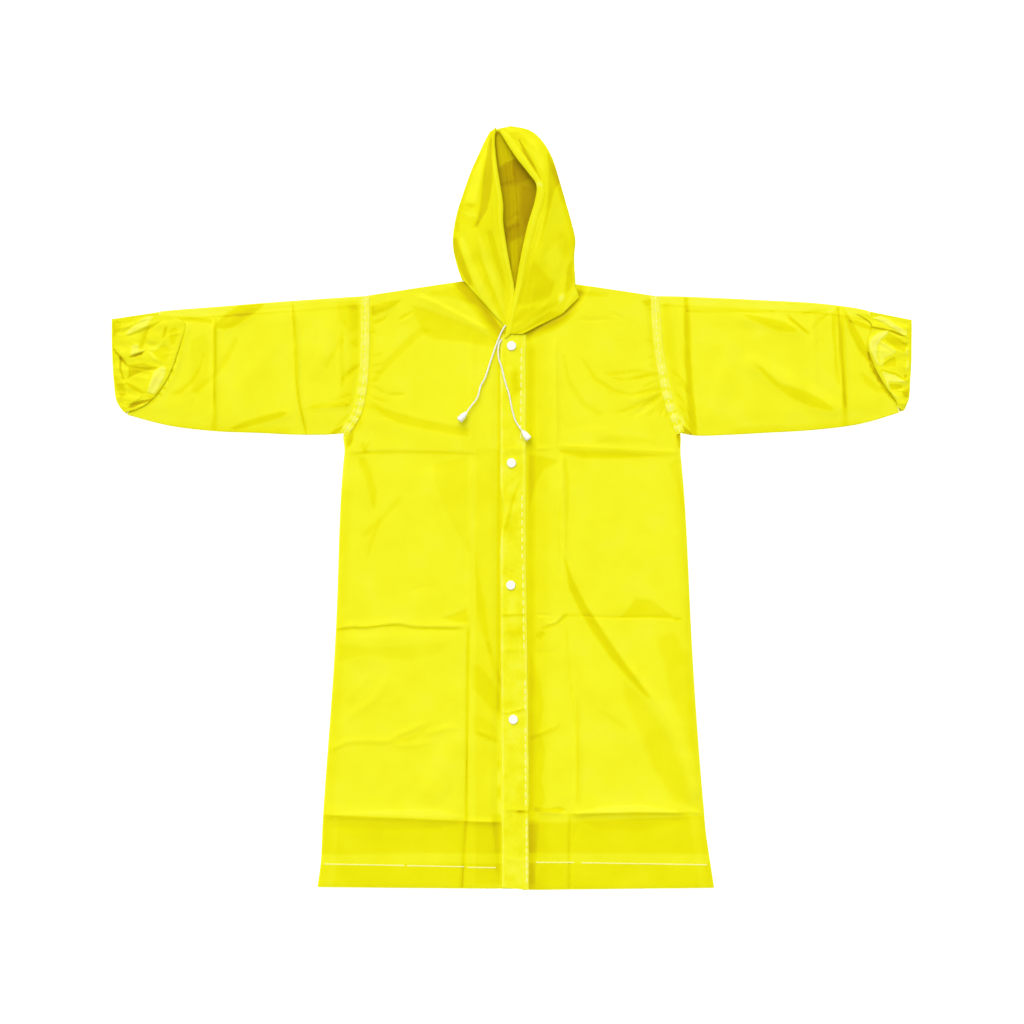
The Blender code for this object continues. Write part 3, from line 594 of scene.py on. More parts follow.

# %% [markdown]
# ## The two fronts
#
# Most of what shows. Each front lies on the back, puffed a little by the air under it, and is
# flat where the placket, an armhole strip or the hood lies on it. The packet's fold grid crosses
# it: three rows and one column a side. Other folds spread from the armpits, hang from the
# shoulders and slant over the hips. Each is placed one by one, as uneven as the real ones are. A
# negative rise is a trough.

# %% Folds of the left front
FOLDS_LEFT = (
    ("high_fold", CREASE, 0.8, 14, 4.5, -236,77, -195,81, -159,82, -110,81, -69,80, -34,74),
    ("under_high_fold", SWELL, -1.1, 22, 30, -238,68, -160,70, -80,70, -40,66),
    ("high_nick", CREASE, -0.4, 4, 4, -50,84, -38,74, -28,74),
    ("mid_fold", CREASE, 2, 14, 5, -252,-169, -221,-165, -205,-167, -162,-161, -131,-165, -58,-166),
    ("below_mid_fold", SWELL, 1, 14, 42, -250,-186, -160,-184, -62,-182),
    ("low_fold", CREASE, 2.9, 28, 14, -276,-428, -215,-432, -148,-434, -66,-438),
    ("low_fold_end", CREASE, 2.4, 8, 14, -72,-437, -40,-439, -10,-440),
    ("long_fold_high", CREASE, 1.5, 8, 12, -57,80, -56,160, -55,250),
    ("long_fold_mid", CREASE, 1.2, 5, 8, -60,-168, -59,-60, -57,78),
    ("long_fold_low", CREASE, -2, 6, 5, -63,-436, -62,-300, -60,-168),
    ("long_fold_hem", CREASE, -1.7, 8, 4, -70,-560, -66,-480, -63,-436),
    ("armpit_upper", SWELL, 0.5, 11, 15, -205,152, -170,134, -135,124, -95,118, -50,111),
    ("armpit_lower", SWELL, 0.6, 7, 20, -210,130, -169,119, -149,112, -118,105, -84,99, -50,96),
    ("shoulder_dart", SWELL, 1.8, 9, 8, -208,274, -176,281, -156,294),
    ("shoulder_nick", CREASE, 0.9, 4, 5, -162,260, -146,264, -131,280),
    ("shoulder_ridge", CREASE, 2.6, 6, 30, -142,300, -108,288, -50,258, -22,245),
    ("chest_nick", CREASE, -0.9, 5, 4, -202,176, -186,165, -179,160, -159,157, -140,161),
    ("side_nick", CREASE, -1, 6, 5, -232,78, -220,98),
    ("side_line", CREASE, -0.7, 3, 3, -206,90, -194,116),
    ("waist_slope", SWELL, 1.5, 22, 36, -60,-62, -80,-32, -91,-3, -105,30, -112,62),
    ("placket_bow", CREASE, 0.7, 7, 13, -32,-206, -41,-170, -48,-141, -51,-101, -53,-82, -54,-54),
    ("mid_nick_a", CREASE, -0.9, 5, 4, -154,-125, -123,-111, -104,-114),
    ("bow_low", CREASE, 0.4, 7, 9, -12,-246, -27,-226, -40,-198),
    ("low_crinkle_a", CREASE, 1.6, 9, 5, -262,-346, -233,-329, -208,-326, -175,-327, -157,-318, -110,-297),
    ("low_crinkle_b", CREASE, 1.4, 7, 5, -180,-326, -148,-333, -108,-327),
    ("low_crinkle_c", CREASE, 1.6, 7, 5, -130,-318, -97,-311, -86,-308, -60,-313),
    ("low_crinkle_d", CREASE, 1.8, 6, 6, -54,-308, -32,-319, -10,-329),
    ("low_streak_a", SWELL, 0.7, 7, 9, -242,-280, -215,-252, -190,-225),
    ("low_streak_b", SWELL, 0.9, 8, 10, -243,-308, -219,-286, -193,-268, -166,-231),
    ("low_diagonal", SWELL, 1.8, 24, 28, -126,-418, -90,-353, -64,-312),
    ("low_ridge", CREASE, 0.5, 6, 8, -118,-412, -90,-392, -88,-372),
)

# %% Folds of the right front
FOLDS_RIGHT = (
    ("high_fold", CREASE, 1, 8, 16, 56,87, 109,85, 155,82, 225,78, 244,76),
    ("high_fold_start", CREASE, 1.1, 6, 4, 14,85, 45,83, 64,87),
    ("high_arch", SWELL, 0.6, 10, 17, 62,94, 108,109, 137,105, 160,86),
    ("mid_fold_start", CREASE, -1, 5, 5, 12,-147, 45,-150, 64,-151),
    ("mid_crinkle", CREASE, 1, 6, 5, 38,-158, 56,-162, 66,-155, 72,-148, 82,-141),
    ("mid_fold", CREASE, -0.9, 9, 6, 80,-148, 116,-152, 148,-153, 196,-153, 244,-156),
    ("low_fold", CREASE, 3.6, 30, 12, 74,-429, 110,-427, 180,-426.5, 252,-426),
    ("low_fold_side", CREASE, 1.4, 7, 6, 244,-425, 280,-428),
    ("low_fold_start", CREASE, 2, 7, 10, 14,-419, 45,-424, 82,-429),
    ("long_fold_high", CREASE, 2.2, 6, 10, 63,84, 62,160, 61,244),
    ("long_fold_mid", CREASE, 2.2, 8, 11, 76,-84, 73,-40, 71,20, 70,80),
    ("long_fold_by", CREASE, -0.8, 6, 4, 69,-110, 70,-71, 66,-42, 62,4),
    ("long_fold_low", CREASE, 1.8, 10, 16, 92,-422, 92,-304, 88,-256, 80,-232),
    ("long_fold_thin", CREASE, -1.2, 5, 5, 84,-284, 78,-230, 75,-198),
    ("long_fold_hem", CREASE, -1.6, 5, 6, 81,-560, 81,-480, 81,-428),
    ("hem_dent", CREASE, -1.2, 5, 5, 84,-470, 97,-436),
    ("thigh_upper", CREASE, 2.6, 14, 11, 76,-70, 88,-104, 100,-130, 128,-172, 152,-208, 182,-246),
    ("thigh_lower", CREASE, 3.6, 14, 32, 160,-219, 198,-265, 218,-294, 238,-340, 249,-376, 264,-414),
    ("thigh_soft", SWELL, 1.4, 24, 30, 96,-236, 130,-262, 190,-350),
    ("collar_line", CREASE, -0.9, 6, 5, 84,266, 109,263, 148,264),
    ("collar_nick", CREASE, -0.9, 5, 4, 132,274, 150,268, 164,258),
    ("chest_ridge", SWELL, 1.2, 8, 8, 156,152, 182,154, 212,162),
    ("armpit_streak", SWELL, -1.3, 6, 6, 162,124, 186,139, 214,161),
    ("armpit_nick", CREASE, -1, 4, 4, 206,126, 216,148),
    ("placket_streak", CREASE, -1, 5, 5, 22,-203, 72,-203),
    ("placket_crease", CREASE, 1.5, 5, 5, 18,-321, 46,-314, 76,-300),
    ("low_line", CREASE, 0.7, 5, 5, 22,-321, 50,-311, 76,-303),
)

# %% Tones of the fronts: painted shade along folds and edges, by the placket and strips, under the hood
# As the folds, with a depth of tone for the rise
TONES_LEFT = (
    ("under_hood", SWELL, 0.6, 6, 20, -80,334, -60,306, -40,284, -20,256, -2,232),
    ("placket_edge", SWELL, 0.26, 5, 8, -18,-300, -18,-100, -17,60, -17,240),
    ("low_fold_shade", CREASE, 0.22, 1, 12, -290,-428, -148,-434, -66,-438, 30,-442),
    ("mid_fold_line", CREASE, 0.36, 2.5, 4, -262,-172, -221,-168, -162,-164, -131,-168, -62,-169),
    ("high_fold_line", SWELL, 0.18, 2.5, 4, -232,74, -195,78, -110,78, -45,75),
    ("long_fold_line", CREASE, 0.55, 4, 3.4, -63,-450, -62,-300, -60,-158),
    ("hem_fold_line", CREASE, 0.36, 6, 4, -71,-560, -66,-480, -64,-430),
    ("side_shade", SWELL, 0.12, 14, 22, -282,-560, -262,-400, -246,-150, -236,40),
    ("crinkle_line", SWELL, 0.08, 3, 4, -260,-347, -240,-333, -215,-329, -167,-328, -139,-322, -117,-305,
        -106,-301),
    ("by_strip", SWELL, 0.14, 10, 10, -195,297, -198,235, -201,179, -209,137, -220,101),
)
TONES_RIGHT = (
    ("under_hood", SWELL, 0.6, 6, 16, 2,236, 34,252, 66,266, 90,296, 96,320),
    ("by_placket", SWELL, 0.24, 7, 14, 24,-560, 24,-400, 24,-150, 24,40, 24,240),
    ("by_placket_wide", SWELL, 0.12, 20, 26, 34,-560, 34,-300, 36,0, 34,240),
    ("high_fold_shade", CREASE, 0.16, 1, 12, 56,87, 109,85, 155,82, 225,78, 244,76),
    ("low_fold_shade", CREASE, 0.24, 1, 14, 70,-429, 110,-427, 180,-426, 262,-426),
    ("mid_fold_line", CREASE, 0.2, 5, 3, 60,-150, 104,-151, 148,-153, 196,-153, 240,-156),
    ("hem_fold_line", CREASE, 0.22, 4, 4, 81,-560, 81,-480, 81,-422),
    ("side_shade", SWELL, 0.12, 22, 12, 294,-560, 270,-400, 254,-150, 240,40),
    ("long_fold_line", CREASE, 0.12, 2, 10, 92,-422, 92,-304, 88,-256),
    ("long_fold_high_line", CREASE, 0.1, 3, 4, 66,-74, 66,-30, 68,10),
    ("thin_fold_line", SWELL, 0.1, 2.4, 3, 76,-157, 80,-213, 85,-269, 92,-325, 92,-416),
    ("faint_curve", SWELL, 0.09, 4, 5, 110,-277, 141,-294, 174,-318),
    ("by_strip", SWELL, 0.1, 10, 10, 191,297, 200,235, 211,172, 225,123, 236,95),
)

# %% Patches of the fronts
# Each patch: name, depth of tone, rise, softness of its edge, corners x,y. Most tones are painted
# shade in hollows and under ridges, and a negative tone is painted highlight; by_facing is the
# facing seen through the sheet.
PATCHES_LEFT = (
    ("under_ridge", 0.15, -0.4, 6, -145,287, -122,283, -106,277, -79,267, -58,259, -33,246, -18,237, -18,221,
        -36,223, -61,228, -86,231, -106,232, -122,239, -135,260),
    ("top_streak_a", 0.3, -0.4, 2.5, -198,283, -176,290, -150,293, -164,281, -181,273, -197,267),
    ("top_streak_b", 0.24, -0.3, 2, -163,262, -150,273, -132,279, -142,269, -156,262),
    ("shoulder_dark", 0.16, 0, 5, -128,301, -100,308, -75,314, -61,302, -44,283, -61,284, -86,293, -111,295),
    ("chest_diagonal", 0.13, -0.3, 4, -197,182, -177,207, -156,231, -128,255, -106,249, -128,237, -150,216,
        -173,193, -192,172),
    ("smile_upper", 0.17, -0.3, 4, -206,154, -195,150, -178,141, -156,134, -114,123, -86,118, -58,113, -58,97,
        -86,101, -114,106, -156,115, -178,126, -195,139),
    ("armpit_dark", 0.38, -0.5, 3, -233,94, -230,112, -220,125, -209,146, -204,146, -211,126, -220,104, -223,87,
        -232,81),
    ("armpit_star", 0.14, -0.3, 1.5, -212,81, -206,94, -204,83, -195,77, -205,74),
    ("waist_dark", 0.16, -0.3, 3, -215,73, -204,71, -195,53, -187,22, -190,-6, -197,3, -204,36, -214,59),
    ("waist_wedge", 0.1, -0.2, 4, -212,-36, -198,-22, -181,-7, -159,20, -150,11, -167,-8, -187,-28, -206,-45),
    ("waist_tail", 0.1, -0.2, 3, -204,-67, -198,-39, -187,-14, -181,-20, -192,-48, -201,-73),
    ("waist_slope", 0.09, 0, 5, -111,64, -58,76, -55,-73, -64,-62, -83,-28, -99,7, -111,42),
    ("by_facing", 0.09, 0, 3, -52,84, -16,84, -15,-528, -52,-528),
    ("bow", 0.11, -0.2, 5, -54,-52, -48,-62, -43,-94, -34,-136, -29,-178, -24,-206, -33,-206, -43,-178,
        -51,-143, -52,-101),
    ("mid_wedge", 0.18, -0.4, 3.5, -103,-154, -79,-146, -61,-137, -58,-162, -79,-162),
    ("under_mid_fold", 0.09, -0.2, 7, -246,-186, -198,-192, -156,-190, -106,-185, -79,-189, -100,-206,
        -139,-217, -177,-213, -212,-209, -246,-221),
    ("low_facing_a", 0.13, -0.2, 6, -58,-218, -44,-218, -27,-238, -13,-260, -15,-291, -30,-286, -44,-269,
        -58,-252),
    ("low_facing_b", 0.1, -0.2, 6, -58,-286, -36,-291, -18,-308, -16,-332, -36,-330, -55,-316),
    ("edge_corner", 0.12, 0, 2, -30,-430, -15,-426, -15,-528, -20,-528, -24,-479),
    ("low_fold_hollow", 0.05, -0.2, 5, -261,-440, -156,-442, -79,-442, -100,-454, -184,-455, -254,-451),
    ("top_streak_c", 0.2, -0.3, 2, -197,262, -181,267, -170,274, -176,263, -190,256),
    ("bow_tail", 0.12, -0.2, 3, -38,-185, -30,-185, -22,-213, -10,-246, -10,-269, -19,-246, -30,-218),
    ("edge_spot_a", 0.14, 0, 1.5, -20,-353, -15,-353, -15,-367, -20,-367),
    ("edge_spot_b", 0.15, 0, 1.5, -22,-392, -15,-389, -15,-406, -20,-407),
    ("edge_light", -0.16, 0, 1.5, -20,-370, -15,-370, -15,-386, -20,-388),
    ("edge_light_low", -0.16, 0, 1.5, -20,-410, -13,-409, -13,-430, -19,-431),
    ("by_low_fold", -0.07, 0.5, 5, -243,-426, -156,-420, -100,-420, -66,-431, -66,-437, -156,-434, -243,-430),
    ("low_nick", 0.1, -0.3, 1.6, -51,-315, -36,-315, -16,-325, -16,-330, -36,-323, -51,-319),
)
PATCHES_RIGHT = (
    ("high_lens", 0.25, -0.4, 6, 62,84, 96,83, 152,81, 236,74, 201,69, 152,66, 103,66, 68,74),
    ("over_high_fold", 0.09, -0.2, 7, 103,87, 121,99, 145,105, 187,101, 222,88, 180,87, 138,87),
    ("top_streak_a", 0.16, -0.2, 2, 92,305, 113,304, 141,300, 132,294, 110,295, 93,298),
    ("strip_corner", 0.28, -0.2, 2, 180,290, 197,295, 197,283, 188,281),
    ("arc_outer", 0.11, -0.2, 3, 69,216, 75,218, 83,182, 104,150, 130,133, 124,125, 99,139, 78,171),
    ("arc_middle", 0.15, -0.4, 3.5, 94,213, 102,210, 120,185, 144,168, 169,161, 208,171, 208,165, 169,154,
        138,161, 113,178),
    ("arc_inner", 0.14, -0.3, 2, 125,190, 141,185, 158,182, 187,189, 208,192, 208,186, 180,179, 152,176),
    ("arc_low", 0.14, -0.3, 3, 135,133, 159,141, 183,153, 208,165, 211,157, 187,143, 159,132),
    ("armpit_dark", 0.52, -0.6, 2, 225,126, 232,129, 239,112, 247,104, 239,99, 237,78, 232,87, 230,109),
    ("side_high", 0.11, 0, 6, 216,64, 237,74, 247,-17, 240,-17, 230,25),
    ("by_long_fold", 0.14, -0.2, 3, 71,70, 78,70, 83,39, 82,-3, 78,-52, 74,-67, 75,11),
    ("by_placket_top", 0.17, -0.2, 4, 22,78, 47,73, 71,67, 62,59, 47,53, 36,34, 27,-3, 22,-17),
    ("mid_facet", 0.17, -0.3, 4, 148,-155, 160,-143, 173,-125, 197,-127, 214,-140, 233,-155),
    ("mid_notch", 0.2, -0.4, 1.5, 226,-154, 239,-153, 237,-158, 229,-160),
    ("side_mid", 0.12, 0, 5, 244,-45, 250,-52, 257,-129, 258,-185, 250,-179, 244,-129),
    ("crinkle_a", 0.16, -0.4, 1.5, 36,-171, 48,-164, 64,-160, 72,-151, 82,-146, 78,-155, 65,-165, 48,-171),
    ("thigh_dark", 0.3, -0.6, 3, 72,-67, 78,-73, 88,-101, 107,-137, 125,-165, 150,-202, 172,-232, 191,-258,
        200,-272, 188,-266, 166,-244, 139,-213, 113,-176, 93,-143, 79,-112),
    ("thigh_low_dark", 0.13, -0.3, 12, 152,-230, 187,-258, 211,-290, 232,-328, 250,-374, 264,-426, 225,-417,
        194,-367, 172,-311, 152,-269),
    ("thigh_side_dark", 0.12, 0, 12, 197,-179, 230,-165, 253,-206, 260,-283, 264,-381, 244,-339, 222,-276),
    ("placket_nick", 0.1, -0.3, 3.5, 22,-318, 40,-314, 62,-302, 74,-298, 68,-309, 47,-319, 26,-328),
    ("placket_low", 0.12, 0, 4, 22,-185, 31,-206, 41,-241, 48,-276, 41,-311, 51,-342, 44,-381, 51,-409, 41,-426,
        22,-426),
    ("knot", 0.22, -0.4, 2, 31,-417, 51,-420, 68,-417, 79,-423, 68,-428, 47,-426, 31,-426),
    ("hem_left", 0.12, 0, 3, 22,-434, 41,-434, 37,-479, 34,-528, 22,-528),
    ("low_lens", 0.07, -0.3, 4, 85,-433, 241,-433, 236,-442, 180,-454, 118,-451),
    ("crinkle_c", 0.18, -0.3, 1.5, 30,-179, 40,-171, 51,-175, 40,-185),
    ("arc_inner_b", 0.16, -0.3, 2, 124,190, 146,192, 174,195, 201,190, 201,186, 174,189, 146,185),
    ("fan_a", 0.18, -0.3, 2, 174,155, 194,164, 214,172, 214,168, 194,158, 176,151),
    ("fan_b", 0.1, -0.3, 2.2, 180,143, 197,155, 215,168, 216,164, 200,148, 183,139),
    ("fan_c", 0.09, -0.3, 2.2, 188,129, 202,146, 218,160, 219,155, 206,140, 194,125),
    ("fan_d", 0.16, -0.3, 2, 205,126, 209,140, 216,153, 219,148, 214,136, 209,125),
    ("low_ridge", -0.1, 0.5, 3, 88,-426, 124,-417, 180,-414, 230,-423, 244,-431, 180,-427, 124,-430, 93,-433),
)

# Puckers beside the armhole strips, drawn only as thin lines of painted shade over the fronts and
# over the sleeves
PUCKERS_LEFT = (
    (-200,246, -188,248), (-200,211, -178,217), (-201,196, -170,207), (-198,192, -178,189),
    (-202,172, -187,168, -176,160), (-176,160, -146,160), (-201,178, -181,181), (-204,162, -190,154, -167,148),
    (-206,147, -192,137), (-216,137, -212,123, -215,109), (-219,123, -218,104), (-206,94, -212,83),
    (-227,118, -223,101, -225,87), (-197,98, -204,83, -208,74),
)
PUCKERS_RIGHT = (
    (198,235, 187,234), (201,213, 188,211), (206,188, 186,185, 163,179), (208,181, 180,168),
    (211,175, 187,164, 166,160), (214,162, 191,141), (216,154, 201,132), (222,146, 214,123), (227,132, 225,109),
    (233,118, 233,92), (201,277, 187,280), (204,199, 191,199),
)
PUCKERS_SLEEVE_LEFT = (
    (-209,204, -223,195, -236,182, -240,171), (-215,162, -234,157, -254,148), (-220,146, -240,143, -260,141),
    (-223,134, -237,123, -248,109), (-227,118, -240,109), (-212,235, -229,231),
)
PUCKERS_SLEEVE_RIGHT = (
    (219,196, 230,188, 241,176, 253,162), (227,165, 239,151, 247,140), (234,146, 244,132), (241,129, 250,109),
    (209,283, 225,287),
)
# Puckers are painted shade only, with no rise
PUCKER = (SWELL, 0.18, 2.8, 2.8)        # kind, depth of tone, half widths


# %% Front sheets
FRONT_LEVEL = 2.3               # outer face of a front's flat bands
PUFF = 1.4
FRONT_WAVER = ((0.35, 34.0), (0.14, 13.0))
FRONT_LEAST = -0.6              # how far a trough goes below the flat bands
SEAM_BAND = 7.0                 # flat under an armhole strip
NECK_BAND = 14.0
FADE = 9.0                      # from a flat band to the puffed sheet
FRONT_COLUMNS = 108
FRONT_CROWD = (0.79, 0.05, 1.3)         # columns crowd at the long fold: share, width, gain
EDGE_DROP = 0.7                 # an edge comes down by this
EDGE_ROLL = 3.5                 # over this width
EDGE_PALE = 0.16                # light from the card passes through it
HEM_ALLOWANCE = (-483.5, -499.0)
HEM_PALE = 0.15
SIDE_ALLOWANCE = 22.0
SIDE_PALE = 0.07
LOW_FOLD_Y = (-429.0, -440.0)   # the lowest packet fold, at the side seam and at the placket
BELOW_FOLD_TONE = 0.20


def crowded(count, centre, width, gain):
    """Shares from 0 to 1 that crowd round one share."""
    even = np.linspace(0.0, 1.0, 2001)
    density = 1.0 + gain * np.exp(-((even - centre) / width) ** 2)
    total = np.concatenate([[0.0], np.cumsum((density[1:] + density[:-1]) / 2.0)])
    return np.interp(np.linspace(0.0, total[-1], count), total, even)


def with_puckers(tones, lines):
    """A table of tones with its puckers added."""
    return tones + tuple(("pucker", *PUCKER, *line) for line in lines)


def front_sheet(table, folds, tones, patches, placket_band, seed):
    """Places and tones of a front: rows from hem to shoulder, columns from seam to front edge."""
    rows = outline_rows(table)
    share = crowded(FRONT_COLUMNS, *FRONT_CROWD)
    x = between(rows[:, :1], rows[:, 2:3], share)
    y = between(rows[:, 1:2], rows[:, 3:4], share)
    width = np.hypot(rows[:, 2] - rows[:, 0], rows[:, 3] - rows[:, 1])[:, None]
    from_seam = share * width
    from_edge = (1.0 - share) * width
    from_hem = y - between(rows[0, 1], rows[0, 3], share)
    armhole = ease((y - ARMPIT_Y + 8.0) / 16.0)
    at_neck = ease((np.abs(rows[:, 2:3] - table[0][3]) - 1.0) / 6.0)
    band = between(placket_band, NECK_BAND, at_neck)
    free = ease((from_seam - SEAM_BAND * armhole) / FADE) * ease((from_edge - band) / FADE)
    height, depth = patches_at(x, y, patches)
    rise = PUFF + waver(x, y, seed, *FRONT_WAVER) + height + RELIEF * folds_at(x, y, folds)
    z = FRONT_LEVEL + free * np.maximum(rise, FRONT_LEAST)
    open_edge = (1.0 - armhole) * (1.0 - ease(from_seam / EDGE_ROLL))
    rolled = np.maximum(open_edge, 1.0 - ease(from_hem / EDGE_ROLL))
    z -= EDGE_DROP * rolled
    # Tone: painted shade and highlight from the patches and tone table, painted light where the edges roll
    # down, darker below the lowest fold, and the paler hem and side allowances
    tone = depth + folds_at(x, y, tones) - EDGE_PALE * rolled
    below_fold = ease((between(*LOW_FOLD_Y, share) - y) / 4.0)
    tone += BELOW_FOLD_TONE * below_fold
    tone -= HEM_PALE * (ease(HEM_ALLOWANCE[0] - y) * ease(y - HEM_ALLOWANCE[1]))
    tone -= SIDE_PALE * below_fold * ease((SIDE_ALLOWANCE - from_seam) / 1.5)
    return np.stack([x, y, z], axis=2), tone


for side_name, *given in (
        ("left", FRONT_LEFT, FOLDS_LEFT, with_puckers(TONES_LEFT, PUCKERS_LEFT), PATCHES_LEFT, 34.0, 11),
        ("right", FRONT_RIGHT, FOLDS_RIGHT, with_puckers(TONES_RIGHT, PUCKERS_RIGHT), PATCHES_RIGHT, 14.0, 23)):
    places, tone = front_sheet(*given)
    if side_name == "right":
        places, tone = places[:, ::-1], tone[:, ::-1]
    sheet(f"front_{side_name}_sheet", places, tone, sheet_film, "sheet", "front_" + side_name)

# %% [markdown]
# ## The placket
#
# The snapped strip is the doubled, welded edge of the front that laps over. It lies on both
# fronts, with small cross creases where the packet's folds pass, and its left edge curls back
# between the second and third snaps. It is twice as thick as the rest, so it is brighter and
# hides what is under it.

# %% Placket
PLACKET_TOP_Y = 243.0
PLACKET_HEM_Y = -531.5
PLACKET_HEM_SLOPE = 3.0         # its hem end hangs lower on the right
PLACKET_LEFT = -15.5
PLACKET_RIGHT = 20.0
PLACKET_LEAN = (2.4, 4.0)       # how far the hem ends of its two edges stand to the right
PLACKET_CURL = 6.0
PLACKET_CURL_Y = -7.0
PLACKET_CURL_HALF_LENGTH = 22.0
PLACKET_LEVEL = 3.6
PLACKET_THICKNESS = 1.0
PLACKET_TONE = 0.02
SNAP_PLACES = ((0.0, 227.0), (0.0, 63.0), (-1.0, -108.0), (2.5, -296.0))
SNAP_CLEAR = 8.0
PLACKET_ROWS = 420
PLACKET_COLUMNS = 26
# Random lumps of darker and paler tone on the placket: strength, size in mm
PLACKET_MOTTLE = ((0.11, 13.0), (0.06, 4.0))
FOLDS_PLACKET = (
    ("high_fold", SWELL, 0.9, 8, 9, -22,80, 26,84),
    ("mid_fold", CREASE, 1.1, 10, 5, -22,-149, 26,-148),
    ("below_mid_a", SWELL, 0.45, 7, 7, -20,-173, 24,-174),
    ("below_mid_b", SWELL, 0.45, 7, 7, -20,-199, 24,-200),
    ("over_last_snap", CREASE, 1.2, 6, 5, -18,-288, -4,-287, 6,-285, 26,-278),
    ("low_fold", CREASE, 1.4, 12, 4, -18,-423, 26,-424),
    ("hem_fold", SWELL, 0.5, 6, 6, -18,-490, 26,-495),
    ("curl_line", CREASE, -0.5, 4, 4, -12,-38, -4,-13, 3,13, 14,44),
    ("curl_bulge", SWELL, 1.2, 5, 6, -8,-36, -3,-8, -6,26),
    ("snap_pull_a", CREASE, -0.6, 4, 4, 4,54, 12,36),
    ("snap_pull_b", CREASE, -0.6, 4, 4, 6,72, 22,78),
    ("over_snap_three", SWELL, -0.5, 4, 4, -14,-84, 0,-90, 8,-96),
    ("top_dent", SWELL, -0.6, 9, 10, 2,190, 6,168),
    ("weld_line", CREASE, -0.35, 2, 2, 20.5,-525, 19.5,-250, 15,-20, 13.5,100, 14.5,236),
)
# Painted shade along the placket's folds, dents and snap line, painted highlight along its left edge, and its
# paler weld along the right edge
TONES_PLACKET = (
    ("pale_edge", SWELL, -0.26, 9, 5, -13,-540, -14,-300, -15,40, -15,250),
    ("pale_weld_edge", SWELL, -0.18, 5, 5, 22,-540, 21,-200, 18,100, 18,250),
    ("mid_fold_line", CREASE, 0.3, 3, 5, -22,-150, 26,-149),
    ("low_fold_line", CREASE, 0.75, 1, 6, 2,-424, 30,-425),
    ("snap_line", CREASE, 0.45, 2, 2.5, -18,-288, -4,-287, 6,-285, 26,-278),
    ("curl_line", SWELL, 0.22, 4, 4, -12,-44, -4,-13, 3,13, 16,48),
    ("under_mid_a", SWELL, 0.14, 8, 8, -16,-174, 20,-174),
    ("under_mid_b", SWELL, 0.1, 8, 8, -16,-200, 20,-200),
    ("top_dent", SWELL, 0.25, 10, 10, 4,205, 6,150),
)


def placket_places():
    y = np.linspace(PLACKET_HEM_Y, PLACKET_TOP_Y, PLACKET_ROWS)[:, None]
    lean = ease(y / (PLACKET_HEM_Y + 110.0))
    curl = PLACKET_CURL * np.exp(-((y - PLACKET_CURL_Y) / PLACKET_CURL_HALF_LENGTH) ** 2)
    wander = 0.35 * mottle(y, y * 0.0, 40.0, 5)
    left = PLACKET_LEFT + curl + PLACKET_LEAN[0] * lean + wander
    right = PLACKET_RIGHT + PLACKET_LEAN[1] * lean + wander
    share = np.linspace(0.0, 1.0, PLACKET_COLUMNS)
    x = between(left, right, share)
    y = y - PLACKET_HEM_SLOPE * share * ease((PLACKET_HEM_Y + 40.0 - y) / 40.0) + 0.0 * x
    folds = RELIEF * folds_at(x, y, FOLDS_PLACKET) + 0.10 * mottle(x, y, 9.0, 6)
    for snap_x, snap_y in SNAP_PLACES:
        folds *= ease((np.hypot(x - snap_x, y - snap_y) - SNAP_CLEAR) / 5.0)
    from_edge = np.minimum(share, 1.0 - share) * (right - left)
    z = PLACKET_LEVEL + folds - 0.45 * (1.0 - ease(from_edge / 1.6))
    uneven_tone = waver(x, y, 7, *PLACKET_MOTTLE)
    return np.stack([x, y, z], axis=2), folds_at(x, y, TONES_PLACKET) + uneven_tone + PLACKET_TONE


placket = sheet("placket_sheet", *placket_places(), doubled_film, "doubled_sheet", "placket",
                thickness=PLACKET_THICKNESS)

# %% [markdown]
# ## The armhole strips
#
# Where a sleeve is welded on, a pale strip of doubled film lies over the joint. It bends round
# the armhole and puckers at its sharpest bend, where the short inner edge is pushed together.

# %% Armhole strips
ARMPIT_ROW = 10
ARMHOLE_LEFT = [row[1:3] for row in reversed(FRONT_LEFT[ARMPIT_ROW:])]
ARMHOLE_RIGHT = [row[1:3] for row in reversed(FRONT_RIGHT[ARMPIT_ROW:])]
STRIP_WIDTH = 12.4
STRIP_LEVEL = 3.3
STRIP_THICKNESS = 0.7
STRIP_TONE = -0.24
STRIP_ROWS = 130
STRIP_COLUMNS = 15
STRIP_START = 0.6               # it starts this far below the shoulder
PUCKERS = 11


